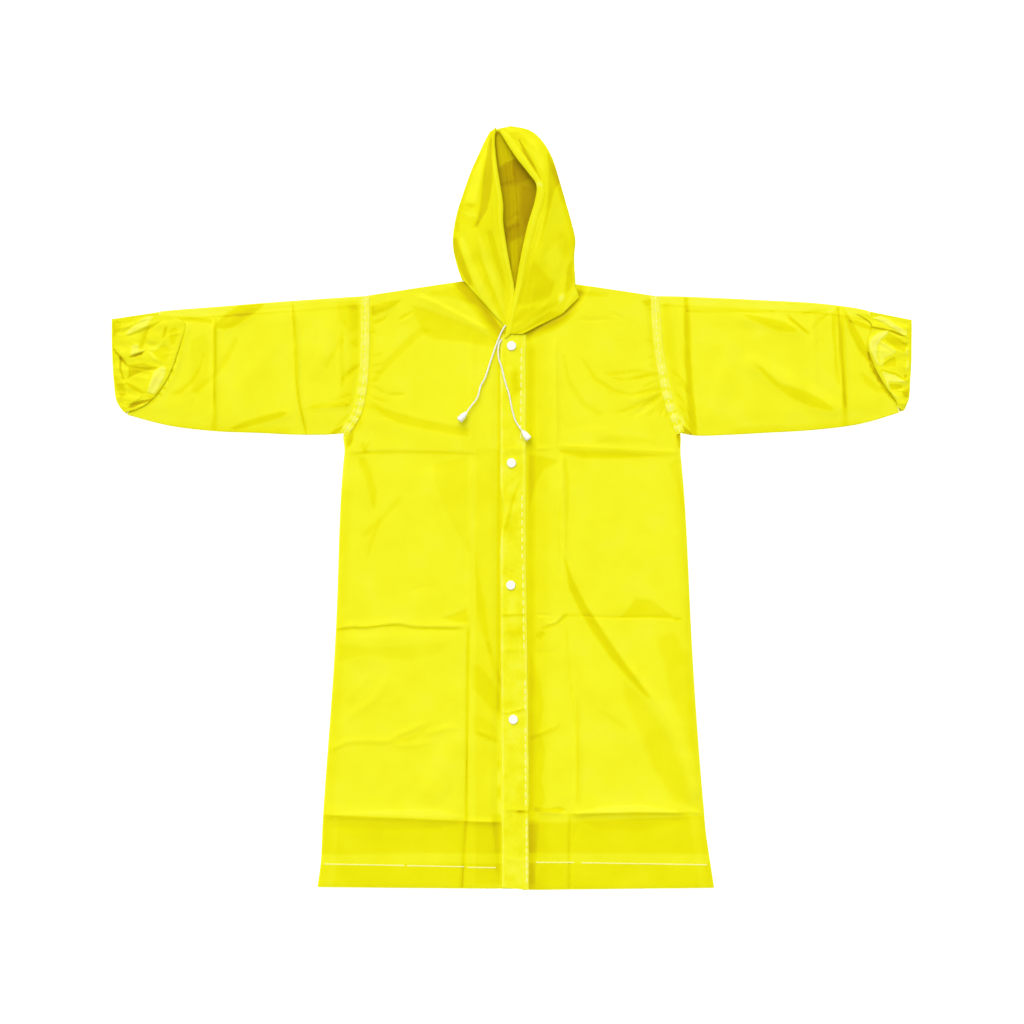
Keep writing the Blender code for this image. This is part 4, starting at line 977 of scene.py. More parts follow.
def strip_places(armhole, outward, seed):
    """A ribbon along an armhole, shoulder to armpit, with puckers across its lower half."""
    line = read(armhole, np.linspace(0, len(armhole) - 1, STRIP_ROWS))
    line[0, 1] -= STRIP_START
    way = np.gradient(line, axis=0)
    way /= np.linalg.norm(way, axis=1)[:, None]
    normal = np.stack([-way[:, 1], way[:, 0]], axis=1) * outward
    normal[0] = (outward * -np.sign(way[0, 1]), 0.0)
    across = np.linspace(-0.5, 0.5, STRIP_COLUMNS)
    x = line[:, :1] + normal[:, :1] * STRIP_WIDTH * across
    y = line[:, 1:2] + normal[:, 1:2] * STRIP_WIDTH * across
    run = np.linspace(0.0, 1.0, STRIP_ROWS)[:, None]
    bend = ease((run - 0.35) / 0.4)
    pucker = np.sin(2.0 * math.pi * PUCKERS * run + 1.2 * mottle(x, y, 30.0, seed))
    z = STRIP_LEVEL + (0.12 + 0.35 * bend) * pucker * (0.5 - across)
    z += 0.15 * mottle(x, y, 8.0, seed + 1) - 0.3 * np.exp(-(across / 0.06) ** 2)
    z -= 0.4 * (1.0 - ease((0.5 - np.abs(across)) * STRIP_WIDTH / 1.4))
    z = np.maximum(z, STRIP_LEVEL - 0.25)
    # Tone: the paler welded strip, a little darker on one half, painted shade in the puckers' troughs, and
    # random lumps
    tone = STRIP_TONE - 0.06 * (across < 0) + 0.30 * (0.3 + bend) * np.maximum(-pucker, 0.0)
    tone += 0.10 * mottle(x * 2.0, y, 5.0, seed + 2)
    return np.stack([x, y, z], axis=2), tone


strips = {}
for side_name, *given in (("left", ARMHOLE_LEFT, -1.0, 31), ("right", ARMHOLE_RIGHT, 1.0, 37)):
    places, tone = strip_places(*given)
    if places[0, -1, 0] > places[0, 0, 0]:
        places, tone = places[::-1], tone[::-1]
    strips[side_name] = sheet("armhole_weld_" + side_name, places, tone, weld_film, "weld",
                              "armhole_strip_" + side_name, thickness=STRIP_THICKNESS)

# %% [markdown]
# ## The sleeves
#
# Each sleeve is a tube pressed flat: its under side lies on the surface, its upper side is
# puffed and creased, and its two long edges are rolled folds. The grid runs once round the tube
# and its first and last columns are merged. Near the armhole its sections follow the armhole's
# curve. Along the top edge, the welded seam allowance shows through as a paler band.

# %% Sleeve tables: name, top edge x, y, bottom edge x, y, share of the armhole's curve, grid rows
SLEEVE_LEFT = (
    ("seam", -205,297, -235,104.5, 1, 12),
    ("head", -240,294.8, -262,102.6, 0.6, 22),
    ("upper_arm", -294,291.2, -304,102.7, 0.1, 24),
    ("forearm", -352,287, -352,105, 0, 26),
    ("wrist_fold", -416,281.8, -416,107.6, 0, 22),
    ("under_cuff", -462,278.4, -480,115.4, 0, 14),
    ("end", -492,275.6, -538,130.4, 0, 1),
)
SLEEVE_RIGHT = (
    ("seam", 201,297, 236.5,105, 1, 12),
    ("head", 238,296.4, 262,101.2, 0.6, 24),
    ("upper_arm", 305,293.6, 309,102.6, 0.1, 18),
    ("forearm", 352,291.2, 352,105, 0, 26),
    ("wrist_fold", 423,287.4, 423,109.2, 0, 20),
    ("under_cuff", 476,281.2, 488,117.6, 0, 14),
    ("end", 500,276.4, 543,133.6, 0, 1),
)
FOLDS_SLEEVE_LEFT = (
    ("elbow", CREASE, 3, 8, 10, -286,100, -299,157, -302,227, -307,292),
    ("upper_arm", CREASE, 1.8, 6, 6, -239,150, -240,200, -239,250),
    ("forearm", CREASE, 3, 8, 10, -415,96, -416,190, -416,270),
    ("shoulder_diagonal", SWELL, 1.8, 13, 14, -416,250, -380,266, -340,287),
    ("under_arm_far", SWELL, 1.6, 11, 12, -402,110, -350,122, -300,136),
    ("under_arm", CREASE, 1.6, 7, 8, -290,139, -250,143, -208,149),
    ("cuff_bow", SWELL, 2.2, 8, 12, -508,148, -481,182, -467,220, -456,268),
    ("strip_nick_a", CREASE, -0.5, 5, 4, -236,182, -205,206),
    ("strip_nick_b", CREASE, -0.5, 5, 4, -238,143, -213,165),
    ("head_dent", SWELL, -1.2, 9, 8, -226,262, -222,220, -226,180),
    ("arm_soft", SWELL, 1, 20, 24, -398,150, -360,190, -330,250),
    ("elbow_soft", SWELL, 1, 14, 16, -284,170, -262,220, -256,270),
    ("wrist_nick", CREASE, -0.8, 4, 5, -452,130, -438,170, -440,210),
    ("low_edge", SWELL, 0.9, 6, 8, -480,126, -430,116, -390,112),
)
FOLDS_SLEEVE_RIGHT = (
    ("head", CREASE, 2, 7, 12, 250,98, 243,164, 241,230, 240,300),
    ("elbow", CREASE, 1.8, 7, 8, 428,170, 422,242, 424,292),
    ("wrist", CREASE, 3.4, 10, 11, 468,104, 465,176, 464,241, 461,290),
    ("wrist_bow", CREASE, 2.2, 9, 10, 520,146, 496,214, 487,230, 471,258, 458,288),
    ("arm_diagonal", SWELL, 2.4, 20, 20, 320,212, 390,172, 466,128),
    ("arm_diagonal_high", SWELL, 1.8, 14, 16, 306,272, 362,260, 414,245),
    ("strip_nick_a", CREASE, -0.4, 4, 4, 216,212, 238,196),
    ("strip_nick_b", CREASE, -0.9, 4, 4, 214,282, 240,286),
    ("head_soft", SWELL, -1, 9, 8, 226,270, 232,220, 238,160),
    ("arm_soft", SWELL, 1.2, 18, 22, 280,130, 300,190, 310,250),
    ("forearm_soft", SWELL, 1, 16, 18, 392,120, 398,190, 392,260),
    ("low_edge", SWELL, 0.9, 7, 8, 300,114, 360,116, 430,118),
)
# Tones of the sleeves: painted shade along the creases, beside the strips and along the lower edge
TONES_SLEEVE_LEFT = (
    ("elbow_line", CREASE, 0.3, 3, 6, -286,100, -299,157, -302,227, -307,292),
    ("forearm_line", CREASE, 0.34, 3, 6, -415,96, -416,190, -416,270),
    ("by_strip", SWELL, 0.14, 14, 8, -238,130, -222,180, -218,240, -217,300),
    ("low_edge", SWELL, 0.18, 14, 10, -500,112, -420,106, -300,104),
)
TONES_SLEEVE_RIGHT = (
    ("wrist_line", CREASE, 0.2, 2, 7, 468,104, 465,176, 464,241, 461,290),
    ("by_strip", SWELL, 0.12, 8, 14, 246,112, 228,180, 218,240, 215,300),
    ("low_edge", SWELL, 0.18, 14, 10, 300,104, 400,106, 500,116),
)

# %% Patches of the sleeves: painted shade and painted highlight
PATCHES_SLEEVE_LEFT = (
    ("under_allowance_a", 0.24, -0.4, 2.5, -486,269, -456,270, -419,265, -416,256, -450,260, -481,262),
    ("under_allowance_b", 0.14, -0.2, 2.5, -397,272, -366,281, -296,286, -296,280, -349,276, -380,266),
    ("under_allowance_c", 0.08, -0.2, 4, -302,288, -254,291, -218,293, -218,280, -240,277, -268,279, -296,279),
    ("shoulder_diagonal", 0.32, -0.7, 3, -414,259, -400,274, -380,287, -349,294, -337,293, -349,280, -366,266,
        -386,253, -402,248, -414,251),
    ("strip_shade_high", 0.12, -0.2, 5, -248,291, -212,294, -211,249, -226,244, -243,260),
    ("strip_shade_mid", 0.22, -0.3, 3, -241,244, -234,235, -234,179, -236,161, -240,172, -240,221),
    ("strip_facet_a", 0.13, -0.3, 5, -265,199, -248,228, -234,266, -229,266, -234,235, -246,210, -260,188),
    ("strip_facet_b", 0.18, -0.4, 2.5, -233,190, -223,199, -211,207, -212,197, -223,188, -232,182),
    ("strip_facet_c", 0.2, -0.4, 2.5, -234,144, -226,154, -218,157, -223,146, -232,137),
    ("under_arm", 0.2, -0.4, 3, -293,137, -275,147, -251,148, -229,151, -232,144, -251,141, -274,137),
    ("under_arm_far", 0.3, -0.6, 3, -397,112, -373,123, -349,130, -324,136, -310,136, -318,127, -341,120,
        -366,113, -388,108),
    ("armpit", 0.42, -0.5, 2, -257,104, -248,111, -233,118, -230,115, -233,109, -248,102),
    ("elbow_line", 0.22, 0, 1.5, -309,288, -304,288, -303,235, -300,179, -295,148, -285,101, -289,101, -299,146,
        -304,179, -306,235),
    ("forearm_line", 0.26, 0, 2, -416,266, -412,266, -412,207, -415,151, -418,106, -421,106, -418,151,
        -415,207),
    ("cuff_rim_shadow", 0.5, 0, 1.5, -498,153, -493,161, -486,172, -479,186, -475,197, -470,211, -467,210,
        -472,195, -478,182, -485,168, -492,157),
    ("under_cuff_low", 0.46, 0, 3, -538,134, -533,144, -519,150, -503,153, -495,158, -498,148, -512,143,
        -526,136, -534,132),
    ("cuff_bow", 0.2, -0.3, 2.5, -484,158, -464,168, -447,183, -436,204, -432,221, -430,213, -435,193, -446,174,
        -464,158),
    ("wrist_line", 0.16, -0.3, 1.5, -460,249, -457,258, -456,248, -458,228, -465,204, -467,213, -463,230),
    ("wrist_shade", 0.1, 0, 6, -453,235, -429,249, -419,228, -422,179, -436,151, -450,162),
    ("strip_facet_d", 0.12, -0.2, 4, -233,284, -215,288, -214,277, -226,272),
    ("strip_facet_e", 0.12, -0.2, 3, -226,231, -212,234, -212,224, -223,223),
    ("strip_facet_f", 0.09, -0.2, 3, -239,181, -226,192, -209,204, -208,200, -223,185, -234,174),
    ("forearm_bow", 0.14, -0.3, 5, -467,154, -442,171, -419,190, -402,218, -386,246, -380,235, -394,204,
        -414,179, -439,160),
)
PATCHES_SLEEVE_RIGHT = (
    ("under_allowance", 0.26, -0.2, 2, 244,279, 306,277, 369,277, 369,273, 306,273, 244,274),
    ("head_dark", 0.36, -0.4, 2, 240,304, 248,304, 251,249, 254,179, 261,112, 261,98, 250,99, 244,151, 241,235),
    ("armpit", 0.55, -0.6, 2, 230,120, 239,118, 250,109, 255,101, 241,104, 233,109),
    ("upper_patch", 0.22, -0.5, 3, 323,273, 348,269, 383,262, 404,249, 398,244, 373,246, 348,256, 327,266),
    ("vee_a", 0.38, -0.5, 2, 384,274, 393,267, 405,258, 419,245, 415,242, 401,252, 388,263),
    ("vee_b", 0.22, -0.3, 2.6, 449,274, 440,266, 429,258, 422,246, 421,255, 430,266, 440,274),
    ("vee_top", 0.22, -0.3, 2, 404,274, 422,279, 449,280, 440,274, 422,272, 408,270),
    ("low_patch", 0.2, -0.5, 4, 334,204, 351,199, 376,176, 404,168, 429,157, 454,140, 449,132, 418,140, 387,154,
        362,174),
    ("wrist_line_a", 0.36, -0.4, 2, 454,280, 460,284, 463,249, 467,193, 470,144, 467,116, 463,151, 458,221),
    ("wrist_line_b", 0.26, -0.3, 2.5, 447,274, 454,279, 456,221, 461,165, 454,179, 449,235),
    ("wrist_wedge", 0.34, -0.6, 3, 463,286, 474,269, 488,244, 500,223, 506,207, 499,202, 486,218, 474,241,
        465,266),
    ("wrist_low", 0.16, -0.3, 3, 485,193, 496,188, 516,171, 527,160, 510,160, 493,174),
    ("rim_shadow", 0.48, 0, 1.5, 496,221, 502,218, 507,202, 516,188, 524,171, 536,155, 547,146, 542,143,
        528,155, 517,168, 507,188, 499,204),
    ("rim_pool", 0.3, 0, 3, 499,204, 507,199, 517,182, 523,168, 513,176, 502,190),
    ("flap_shadow", 0.3, 0, 2, 471,266, 488,262, 505,255, 522,251, 522,245, 502,248, 482,255, 471,260),
    ("strip_nick", 0.16, -0.2, 2.4, 233,179, 241,174, 251,161, 250,157, 239,167, 232,174),
    ("armpit_flap", -0.25, 0.4, 1.5, 230,126, 239,132, 244,118, 236,109),
    ("wrist_dark", 0.12, -0.4, 4, 451,291, 464,291, 467,249, 470,179, 471,113, 461,113, 460,179, 456,235),
)

# %% Cuff tables and sleeve sheets
# Each cuff, top to bottom: x and y of its outer fold, x and y of its rim, height of its rim
CUFF_LEFT = (
    (-560,265, -484,270, 4.2), (-560.2,250, -458,258, 4.4), (-560,228, -466,224, 4.7),
    (-559,202, -480,186, 5.4), (-557,174, -498,158, 5.8), (-553.5,150, -514,144, 5),
    (-543,134, -528,137.5, 4.4),
)
CUFF_RIGHT = (
    (560.6,264, 484,272, 4.2), (560.8,250, 505,256, 4.6), (560.6,230, 499,230, 5.4), (560.2,204, 508,200, 5.8),
    (558.6,176, 523,172, 5.6), (557,154, 538,151, 5), (550,136.4, 541,141, 4.4),
)
SLEEVE_LEVEL = 2.3              # outer face of a sleeve pressed flat
UNDER_CUFF = 3.1                # and where a cuff lies on it
SLEEVE_PUFF = 1.2
SLEEVE_WAVER = ((0.35, 30.0), (0.14, 12.0))
SLEEVE_LEAST = -0.4             # how far a trough goes below the flat sleeve
UPPER_COLUMNS = 72
UNDER_COLUMNS = 14
ROLL_COLUMNS = 5
ARM_ALLOWANCE = 14.0
UNDER_LIFT = 0.2                # how much of a fold's rise shows in the layer below


def sleeve_sheet(table, armhole, cuff, folds, tones, patches, seed):
    """Places and tones of a flat tube: rows from armhole to wrist, columns once round."""
    sections = np.array([row[1:6] for row in table])
    steps = [row[6] for row in table]
    at = [i + k / count for i, count in enumerate(steps[:-1]) for k in range(count)]
    rows = read(sections, np.array(at + [len(table) - 1.0]))
    hole = np.asarray(armhole)
    fall = (hole[0, 1] - hole[:, 1]) / (hole[0, 1] - hole[-1, 1])
    bow = hole[:, 0] - between(hole[0, 0], hole[-1, 0], fall)
    upper = ease(np.linspace(0.02, 0.98, UPPER_COLUMNS)) * 0.3 + np.linspace(0.0, 1.0, UPPER_COLUMNS) * 0.7
    upper = (upper - upper[0]) / (upper[-1] - upper[0])
    under = np.linspace(1.0, 0.0, UNDER_COLUMNS)
    share = np.concatenate([upper, np.ones(ROLL_COLUMNS), under, np.zeros(ROLL_COLUMNS), [0.0]])
    turn = np.linspace(0.0, math.pi, ROLL_COLUMNS + 2)[1:-1]
    x = between(rows[:, :1], rows[:, 2:3], share)
    x = x + rows[:, 4:5] * np.interp(share, fall, bow)
    y = between(rows[:, 1:2], rows[:, 3:4], share)
    half = SLEEVE_LEVEL / 2.0
    length = np.hypot(rows[:, 2] - rows[:, 0], rows[:, 3] - rows[:, 1])[:, None]
    inset = np.minimum(share, 1.0 - share) * length
    y = y - half * np.sign(y - (rows[:, 1:2] + rows[:, 3:4]) / 2.0) * (1.0 - ease(inset / 6.0))
    body = ease(6.0 * np.minimum(share, 1.0 - share))
    from_seam = np.abs(x - (between(rows[0, 0], rows[0, 2], share) + np.interp(share, fall, bow)))
    free = body * ease((from_seam - SEAM_BAND) / FADE)
    height, depth = patches_at(x, y, patches)
    crease = folds_at(x, y, folds)
    rise = SLEEVE_PUFF + waver(x, y, seed, *SLEEVE_WAVER) + height + RELIEF * crease
    z = SLEEVE_LEVEL + free * np.maximum(rise, SLEEVE_LEAST)
    rim = np.array(cuff)[::-1]
    clear = (np.interp(y, rim[:, 3], rim[:, 2]) - x) * np.sign(rim[0, 0])
    z = np.minimum(z, UNDER_CUFF + 7.0 * ease(clear / 14.0))
    lift = UNDER_LIFT * body * ease(from_seam / 30.0) * np.clip(crease, 0.0, 2.0)
    ends = np.cumsum([UPPER_COLUMNS, ROLL_COLUMNS, UNDER_COLUMNS, ROLL_COLUMNS])
    low_roll, layer, high_roll = (slice(*ends[k:k + 2]) for k in range(3))
    z[:, low_roll] = half + half * np.cos(turn)
    y[:, low_roll] -= half * np.sin(turn)
    z[:, layer] = lift[:, layer]
    z[:, high_roll] = half - half * np.cos(turn)
    y[:, high_roll] += half * np.sin(turn)
    places = np.stack([x, y, z], axis=2)
    places[:, -1] = places[:, 0]
    # Tone: painted shade and highlight from the patches and tone tables, then the welded seam allowance showing
    # through as a paler band, with a darker line along its edge
    tone = depth + folds_at(x, y, tones)
    allowance = ease((ARM_ALLOWANCE - share * length) / 1.2) * (share < 0.5)
    tone += -0.10 * allowance + 0.2 * np.exp(-((share * length - ARM_ALLOWANCE) / 1.4) ** 2)
    tone[:, -1] = tone[:, 0]
    return places, tone


for side_name, *given in (
        ("left", SLEEVE_LEFT, ARMHOLE_LEFT, CUFF_LEFT,
         FOLDS_SLEEVE_LEFT, with_puckers(TONES_SLEEVE_LEFT, PUCKERS_SLEEVE_LEFT), PATCHES_SLEEVE_LEFT, 41),
        ("right", SLEEVE_RIGHT, ARMHOLE_RIGHT, CUFF_RIGHT,
         FOLDS_SLEEVE_RIGHT, with_puckers(TONES_SLEEVE_RIGHT, PUCKERS_SLEEVE_RIGHT), PATCHES_SLEEVE_RIGHT, 47)):
    places, tone = sleeve_sheet(*given)
    if side_name == "left":
        places, tone = places[::-1], tone[::-1]
    sheet(f"sleeve_{side_name}_sheet", places, tone, sheet_film, "sheet", "sleeve_" + side_name, closed=True)

# %% [markdown]
# ## The cuffs
#
# A narrow elastic band is welded in each wrist. It has pulled the sheet into gathers, and the
# whole cuff lies back over its sleeve, crumpled into facets and small pockets. A cuff starts
# under the sleeve, turns over at the outer fold and ends at its rim, which curls under.

# %% Folds and tones of the cuffs
FOLDS_CUFF_LEFT = (
    ("flap_top", CREASE, 2, 14, 4, -552,246, -532,256, -514,264, -498,271),
    ("flap_low", CREASE, 2.2, 10, 3, -550,239, -530,245, -512,253, -501,265),
    ("pocket", SWELL, -2.2, 6, 6, -512,250, -516,238, -506,228, -488,226),
    ("pocket_edge", CREASE, 2, 3, 9, -487,221, -487,238, -486,264),
    ("band", CREASE, 1.8, 8, 5, -562,238, -548,218, -534,196),
    ("star_high", CREASE, 1.8, 7, 3, -534,232, -522,226, -512,221),
    ("star_low", CREASE, 1.7, 6, 3, -536,214, -524,218, -512,222),
    ("star_right", CREASE, 1.2, 5, 4, -514,222, -500,209, -484,202),
    ("low_crease", CREASE, 2.4, 9, 2.5, -538,199, -514,197, -492,196),
    ("low_pocket", SWELL, -1.8, 4, 8, -536,190, -514,188, -500,187),
    ("bright_flap", SWELL, 2, 11, 7, -512,160, -503,178, -490,198),
    ("bottom_flap", CREASE, 1.8, 12, 3, -550,151, -534,146, -510,162),
    ("fold_pull_a", CREASE, 1.1, 5, 4, -566,258, -546,255),
    ("fold_pull_b", CREASE, 1.2, 5, 3, -566,246, -544,240),
    ("fold_pull_c", CREASE, 1.3, 5, 3, -566,226, -546,222),
    ("fold_pull_d", CREASE, 1.3, 5, 3, -566,213, -542,208),
    ("fold_pull_e", CREASE, 1.4, 5, 3, -566,200, -544,193),
    ("fold_pull_f", CREASE, 1.3, 5, 3, -564,187, -536,182),
    ("fold_pull_g", CREASE, 1.3, 6, 3, -564,174, -532,174),
    ("fold_pull_h", CREASE, 1.2, 5, 3, -562,162, -536,160),
    ("rim_pull_a", CREASE, 1.2, 5, 3, -484,240, -458,246),
    ("rim_pull_b", CREASE, 1.1, 4, 3, -490,214, -464,218),
    ("rim_pull_c", CREASE, 1, 4, 3, -500,196, -474,192),
)
FOLDS_CUFF_RIGHT = (
    ("flap_edge", CREASE, 2.6, 16, 3.5, 462,268, 485,259, 504,253, 534,247, 566,234),
    ("flap_bulge", SWELL, 1.6, 8, 7, 502,268, 520,265, 540,256, 562,244),
    ("rim_bulge", SWELL, 2.2, 5, 10, 556,134, 537,154, 524,174, 513,198, 505,216, 503,232, 518,243),
    ("triangle_high", CREASE, 1.7, 7, 4, 508,236, 526,226, 542,216),
    ("triangle_low", CREASE, 1.4, 8, 4, 512,198, 526,206, 542,216),
    ("low_line", CREASE, 1.8, 8, 3, 510,194, 526,190, 540,186, 560,171),
    ("fold_pull_a", CREASE, 1.3, 5, 3, 542,232, 566,231),
    ("fold_pull_b", CREASE, 1.4, 5, 3, 544,222, 566,219),
    ("fold_pull_c", CREASE, 1.4, 5, 3, 544,208, 566,207),
    ("fold_pull_d", CREASE, 1.3, 5, 3, 546,197, 566,194),
    ("fold_pull_e", CREASE, 1.1, 5, 3, 540,176, 564,182),
    ("fold_pull_f", CREASE, 1.2, 5, 3, 534,166, 562,160),
    ("rim_pull", CREASE, 1, 4, 3, 504,222, 526,218),
)
# Painted shade along each cuff's outer fold
TONES_CUFF_LEFT = (
    ("fold_side", SWELL, 0.22, 9, 10, -563,150, -562,200, -560,262),
)
TONES_CUFF_RIGHT = (
    ("fold_side", SWELL, 0.28, 10, 8, 563,140, 565,200, 564,262),
)

# %% Patches of the cuffs: painted shade and painted highlight
PATCHES_CUFF_LEFT = (
    ("flap_bright", -0.34, 0.7, 2, -542,244, -530,255, -516,266, -505,273, -500,269, -510,253, -524,248,
        -537,242),
    ("flap_top", 0.1, 0, 3, -548,266, -520,272, -531,260, -542,249, -550,246),
    ("under_flap", 0.3, -0.8, 2, -523,218, -519,235, -512,252, -498,260, -484,265, -495,256, -507,248, -512,232,
        -517,218),
    ("pocket_mouth", 0.34, -0.5, 1.5, -491,235, -489,246, -484,258, -481,249, -485,238),
    ("star_flap", -0.3, 1, 1.2, -533,227, -524,230, -519,225, -512,220, -522,216, -534,213),
    ("star_shadow", 0.72, -0.6, 1, -537,211, -523,217, -513,220, -516,214, -526,211, -534,210),
    ("star_right", -0.22, 0.6, 1.2, -510,220, -503,218, -495,206, -500,207),
    ("below_line", -0.12, 0.4, 2, -512,221, -488,234, -492,221, -503,218),
    ("middle_pocket", 0.14, -0.5, 3, -503,217, -488,231, -475,221, -481,204, -492,204),
    ("band_line", 0.5, -0.5, 1, -559,227, -551,218, -542,209, -536,199, -538,197, -547,206, -555,216),
    ("band_leg", 0.46, -0.5, 1, -550,216, -545,210, -545,193, -541,179, -544,178, -549,193),
    ("middle_shadow", 0.34, -0.9, 1.6, -538,200, -517,203, -496,197, -486,202, -499,192, -516,190, -531,183,
        -538,179, -536,192),
    ("bright_flap", -0.38, 1, 1.6, -500,192, -488,200, -482,195, -485,182, -491,171, -499,158, -510,162,
        -507,174, -503,185),
    ("bright_flap_edge", 0.22, 0, 1.2, -512,158, -502,157, -495,164, -489,174, -488,168, -495,155, -506,153),
    ("side_dark", 0.3, -0.4, 3, -559,190, -551,183, -542,178, -538,157, -547,151, -554,165),
    ("bottom_crease", 0.26, -0.5, 1.2, -542,179, -527,171, -510,160, -517,158, -531,165, -541,174),
    ("bottom_shadow", 0.55, -0.8, 1.6, -538,140, -533,146, -519,151, -505,153, -498,155, -506,148, -520,144,
        -530,139),
    ("fold_dark_high", 0.22, -0.3, 2, -561,260, -551,265, -545,258, -548,246, -558,238),
    ("lip_dark", 0.16, 0, 2, -481,249, -470,255, -464,246, -472,228, -478,228),
)
PATCHES_CUFF_RIGHT = (
    ("flap_edge", 0.55, -0.8, 1.2, 472,265, 488,261, 503,255, 524,251, 536,248, 545,244, 556,239, 544,240,
        530,246, 505,251, 488,257),
    ("flap_bright", -0.36, 0.9, 1.8, 502,266, 516,270, 528,265, 540,256, 552,249, 556,244, 550,239, 537,248,
        524,256, 513,262),
    ("flap_bright_low", -0.14, 0.3, 1.6, 471,267, 482,273, 488,269, 477,265),
    ("bulge_bright", -0.38, 1.1, 1.4, 502,217, 499,228, 502,237, 512,245, 528,250, 528,245, 517,235, 513,225,
        512,211, 517,195, 509,203),
    ("triangle", -0.26, 0.6, 1.4, 516,234, 528,228, 540,220, 534,214, 523,209, 517,195, 512,213),
    ("inner_dark", 0.3, -0.8, 2, 528,245, 542,238, 556,228, 551,217, 540,221, 527,231, 520,235),
    ("inner_low_dark", 0.24, -0.6, 2.5, 523,206, 534,213, 541,207, 538,197, 526,196, 519,197),
    ("low_flap", -0.34, 0.8, 1.4, 517,192, 538,186, 556,174, 545,175, 528,176, 530,165, 541,155, 547,147,
        536,155, 526,168),
    ("low_line", 0.3, -0.3, 1, 516,195, 538,189, 558,176, 555,175, 537,186, 517,191),
    ("low_dark", 0.3, -0.7, 2, 526,174, 542,174, 551,169, 541,164, 530,165),
    ("spot", 0.4, -0.5, 1.4, 548,186, 554,188, 555,182, 550,179),
    ("fold_dark", 0.36, -0.4, 2, 545,164, 558,169, 556,153, 548,155),
    ("lobe_a", -0.28, 0.5, 1.2, 550,220, 554,227, 556,218, 554,210),
    ("lobe_b", -0.28, 0.5, 1.2, 552,206, 556,209, 558,199, 552,190),
)

# %% Cuff sheets
CUFF_ROWS = 150
CUFF_COLUMNS = (9, 5, 44)       # under side, fold, upper side
CUFF_FOLD_LEVEL = 3.4
CUFF_GATHERS = 8
GATHER_RISE = 0.6
CUFF_PROFILE = ((0.0, 0.12, 0.30, 0.55, 0.80, 1.0), (3.4, 4.3, 4.9, 5.3, 5.4, 5.4))
CUFF_INNER_LEFT = ((-492.7, 275.0), (-538.9, 131.6))
CUFF_INNER_RIGHT = ((500.7, 275.8), (543.9, 134.8))
CUFF_MOST = 9.0
CUFF_CURL = np.array([[0.8, -0.6], [1.2, -1.6], [0.9, -2.7], [-1.6, -3.0]])     # out, up
CUFF_WAVER = (0.4, 9.0)
CUFF_TONE = 0.08
CUFF_UNDER_TONE = 0.05
CURL_TONE = 0.10                # the edge turns away from the light


def cuff_sheet(cuff, inner, folds, tones, patches, seed):
    """Places and tones of a cuff: rows top to bottom, columns under side, fold, upper side, rim."""
    outward = np.sign(cuff[0][0])
    rows = read(cuff, np.linspace(0, len(cuff) - 1, CUFF_ROWS))
    run = np.linspace(0.0, 1.0, CUFF_ROWS)[:, None]
    fold_x, fold_y, rim_x, rim_y, rim_z = (rows[:, k:k + 1] for k in range(5))
    near_x = fold_x - outward * CUFF_FOLD_LEVEL / 2.0
    inner_x, inner_y = (between(inner[0][k], inner[1][k], run) for k in range(2))
    under_columns, turn_columns, over_columns = CUFF_COLUMNS
    under = np.linspace(0.0, 1.0, under_columns)
    turn = np.linspace(0.0, math.pi, turn_columns + 2)[1:-1]
    over = np.linspace(0.0, 1.0, over_columns)
    half = CUFF_FOLD_LEVEL / 2.0
    under_x, under_y = between(inner_x, near_x, under), between(inner_y, fold_y, under)
    turn_x = near_x + outward * half * np.sin(turn)
    turn_y = fold_y + 0.0 * turn
    turn_z = half - half * np.cos(turn) + 0.0 * run
    over_x, over_y = between(near_x, rim_x, over), between(fold_y, rim_y, over)
    level = np.interp(over, *CUFF_PROFILE) + (rim_z - 5.0) * over
    wave = np.sin(2.0 * math.pi * CUFF_GATHERS * run) * ease(6.0 * np.minimum(run, 1.0 - run))
    ends = ease(9.0 * np.minimum(run, 1.0 - run))
    rise = patches_at(over_x, over_y, patches)[0] + RELIEF * folds_at(over_x, over_y, folds)
    rise += waver(over_x, over_y, seed, CUFF_WAVER)
    over_z = level + (rise * ends + GATHER_RISE * wave * (1.0 - over) ** 0.5) * ease(over / 0.1)
    over_z = np.clip(over_z, CUFF_FOLD_LEVEL + 0.2 * over, CUFF_MOST)
    curl_x = rim_x - outward * CUFF_CURL[:, 0]
    curl_y = rim_y + 0.0 * CUFF_CURL[:, 0]
    curl_z = np.maximum(over_z[:, -1:] + CUFF_CURL[:, 1], UNDER_CUFF + 0.7)
    x = np.hstack([under_x, turn_x, over_x, curl_x])
    y = np.hstack([under_y, turn_y, over_y, curl_y])
    z = np.hstack([np.zeros_like(under_x), turn_z, over_z, curl_z])
    # Tone: a little painted shade on the under side; on the upper side the cuff's base tone with its painted
    # shade and highlight; painted shade on the curl, which turns from the light
    tone = np.zeros_like(x)
    tone[:, :under_columns] = CUFF_UNDER_TONE
    first = under_columns + turn_columns
    upper_x, upper_y = x[:, first:], y[:, first:]
    tone[:, first:] = CUFF_TONE + folds_at(upper_x, upper_y, tones) + patches_at(upper_x, upper_y, patches)[1]
    tone[:, -len(CUFF_CURL):] += CURL_TONE
    return np.stack([x, y, z], axis=2), tone


for side_name, *given in (
        ("left", CUFF_LEFT, CUFF_INNER_LEFT, FOLDS_CUFF_LEFT, TONES_CUFF_LEFT, PATCHES_CUFF_LEFT, 53),
        ("right", CUFF_RIGHT, CUFF_INNER_RIGHT, FOLDS_CUFF_RIGHT, TONES_CUFF_RIGHT, PATCHES_CUFF_RIGHT, 59)):
    places, tone = cuff_sheet(*given)
    if side_name == "left":
        places, tone = places[::-1], tone[::-1]
    sheet(f"cuff_{side_name}_sheet", places, tone, sheet_film, "sheet", "cuff_" + side_name)

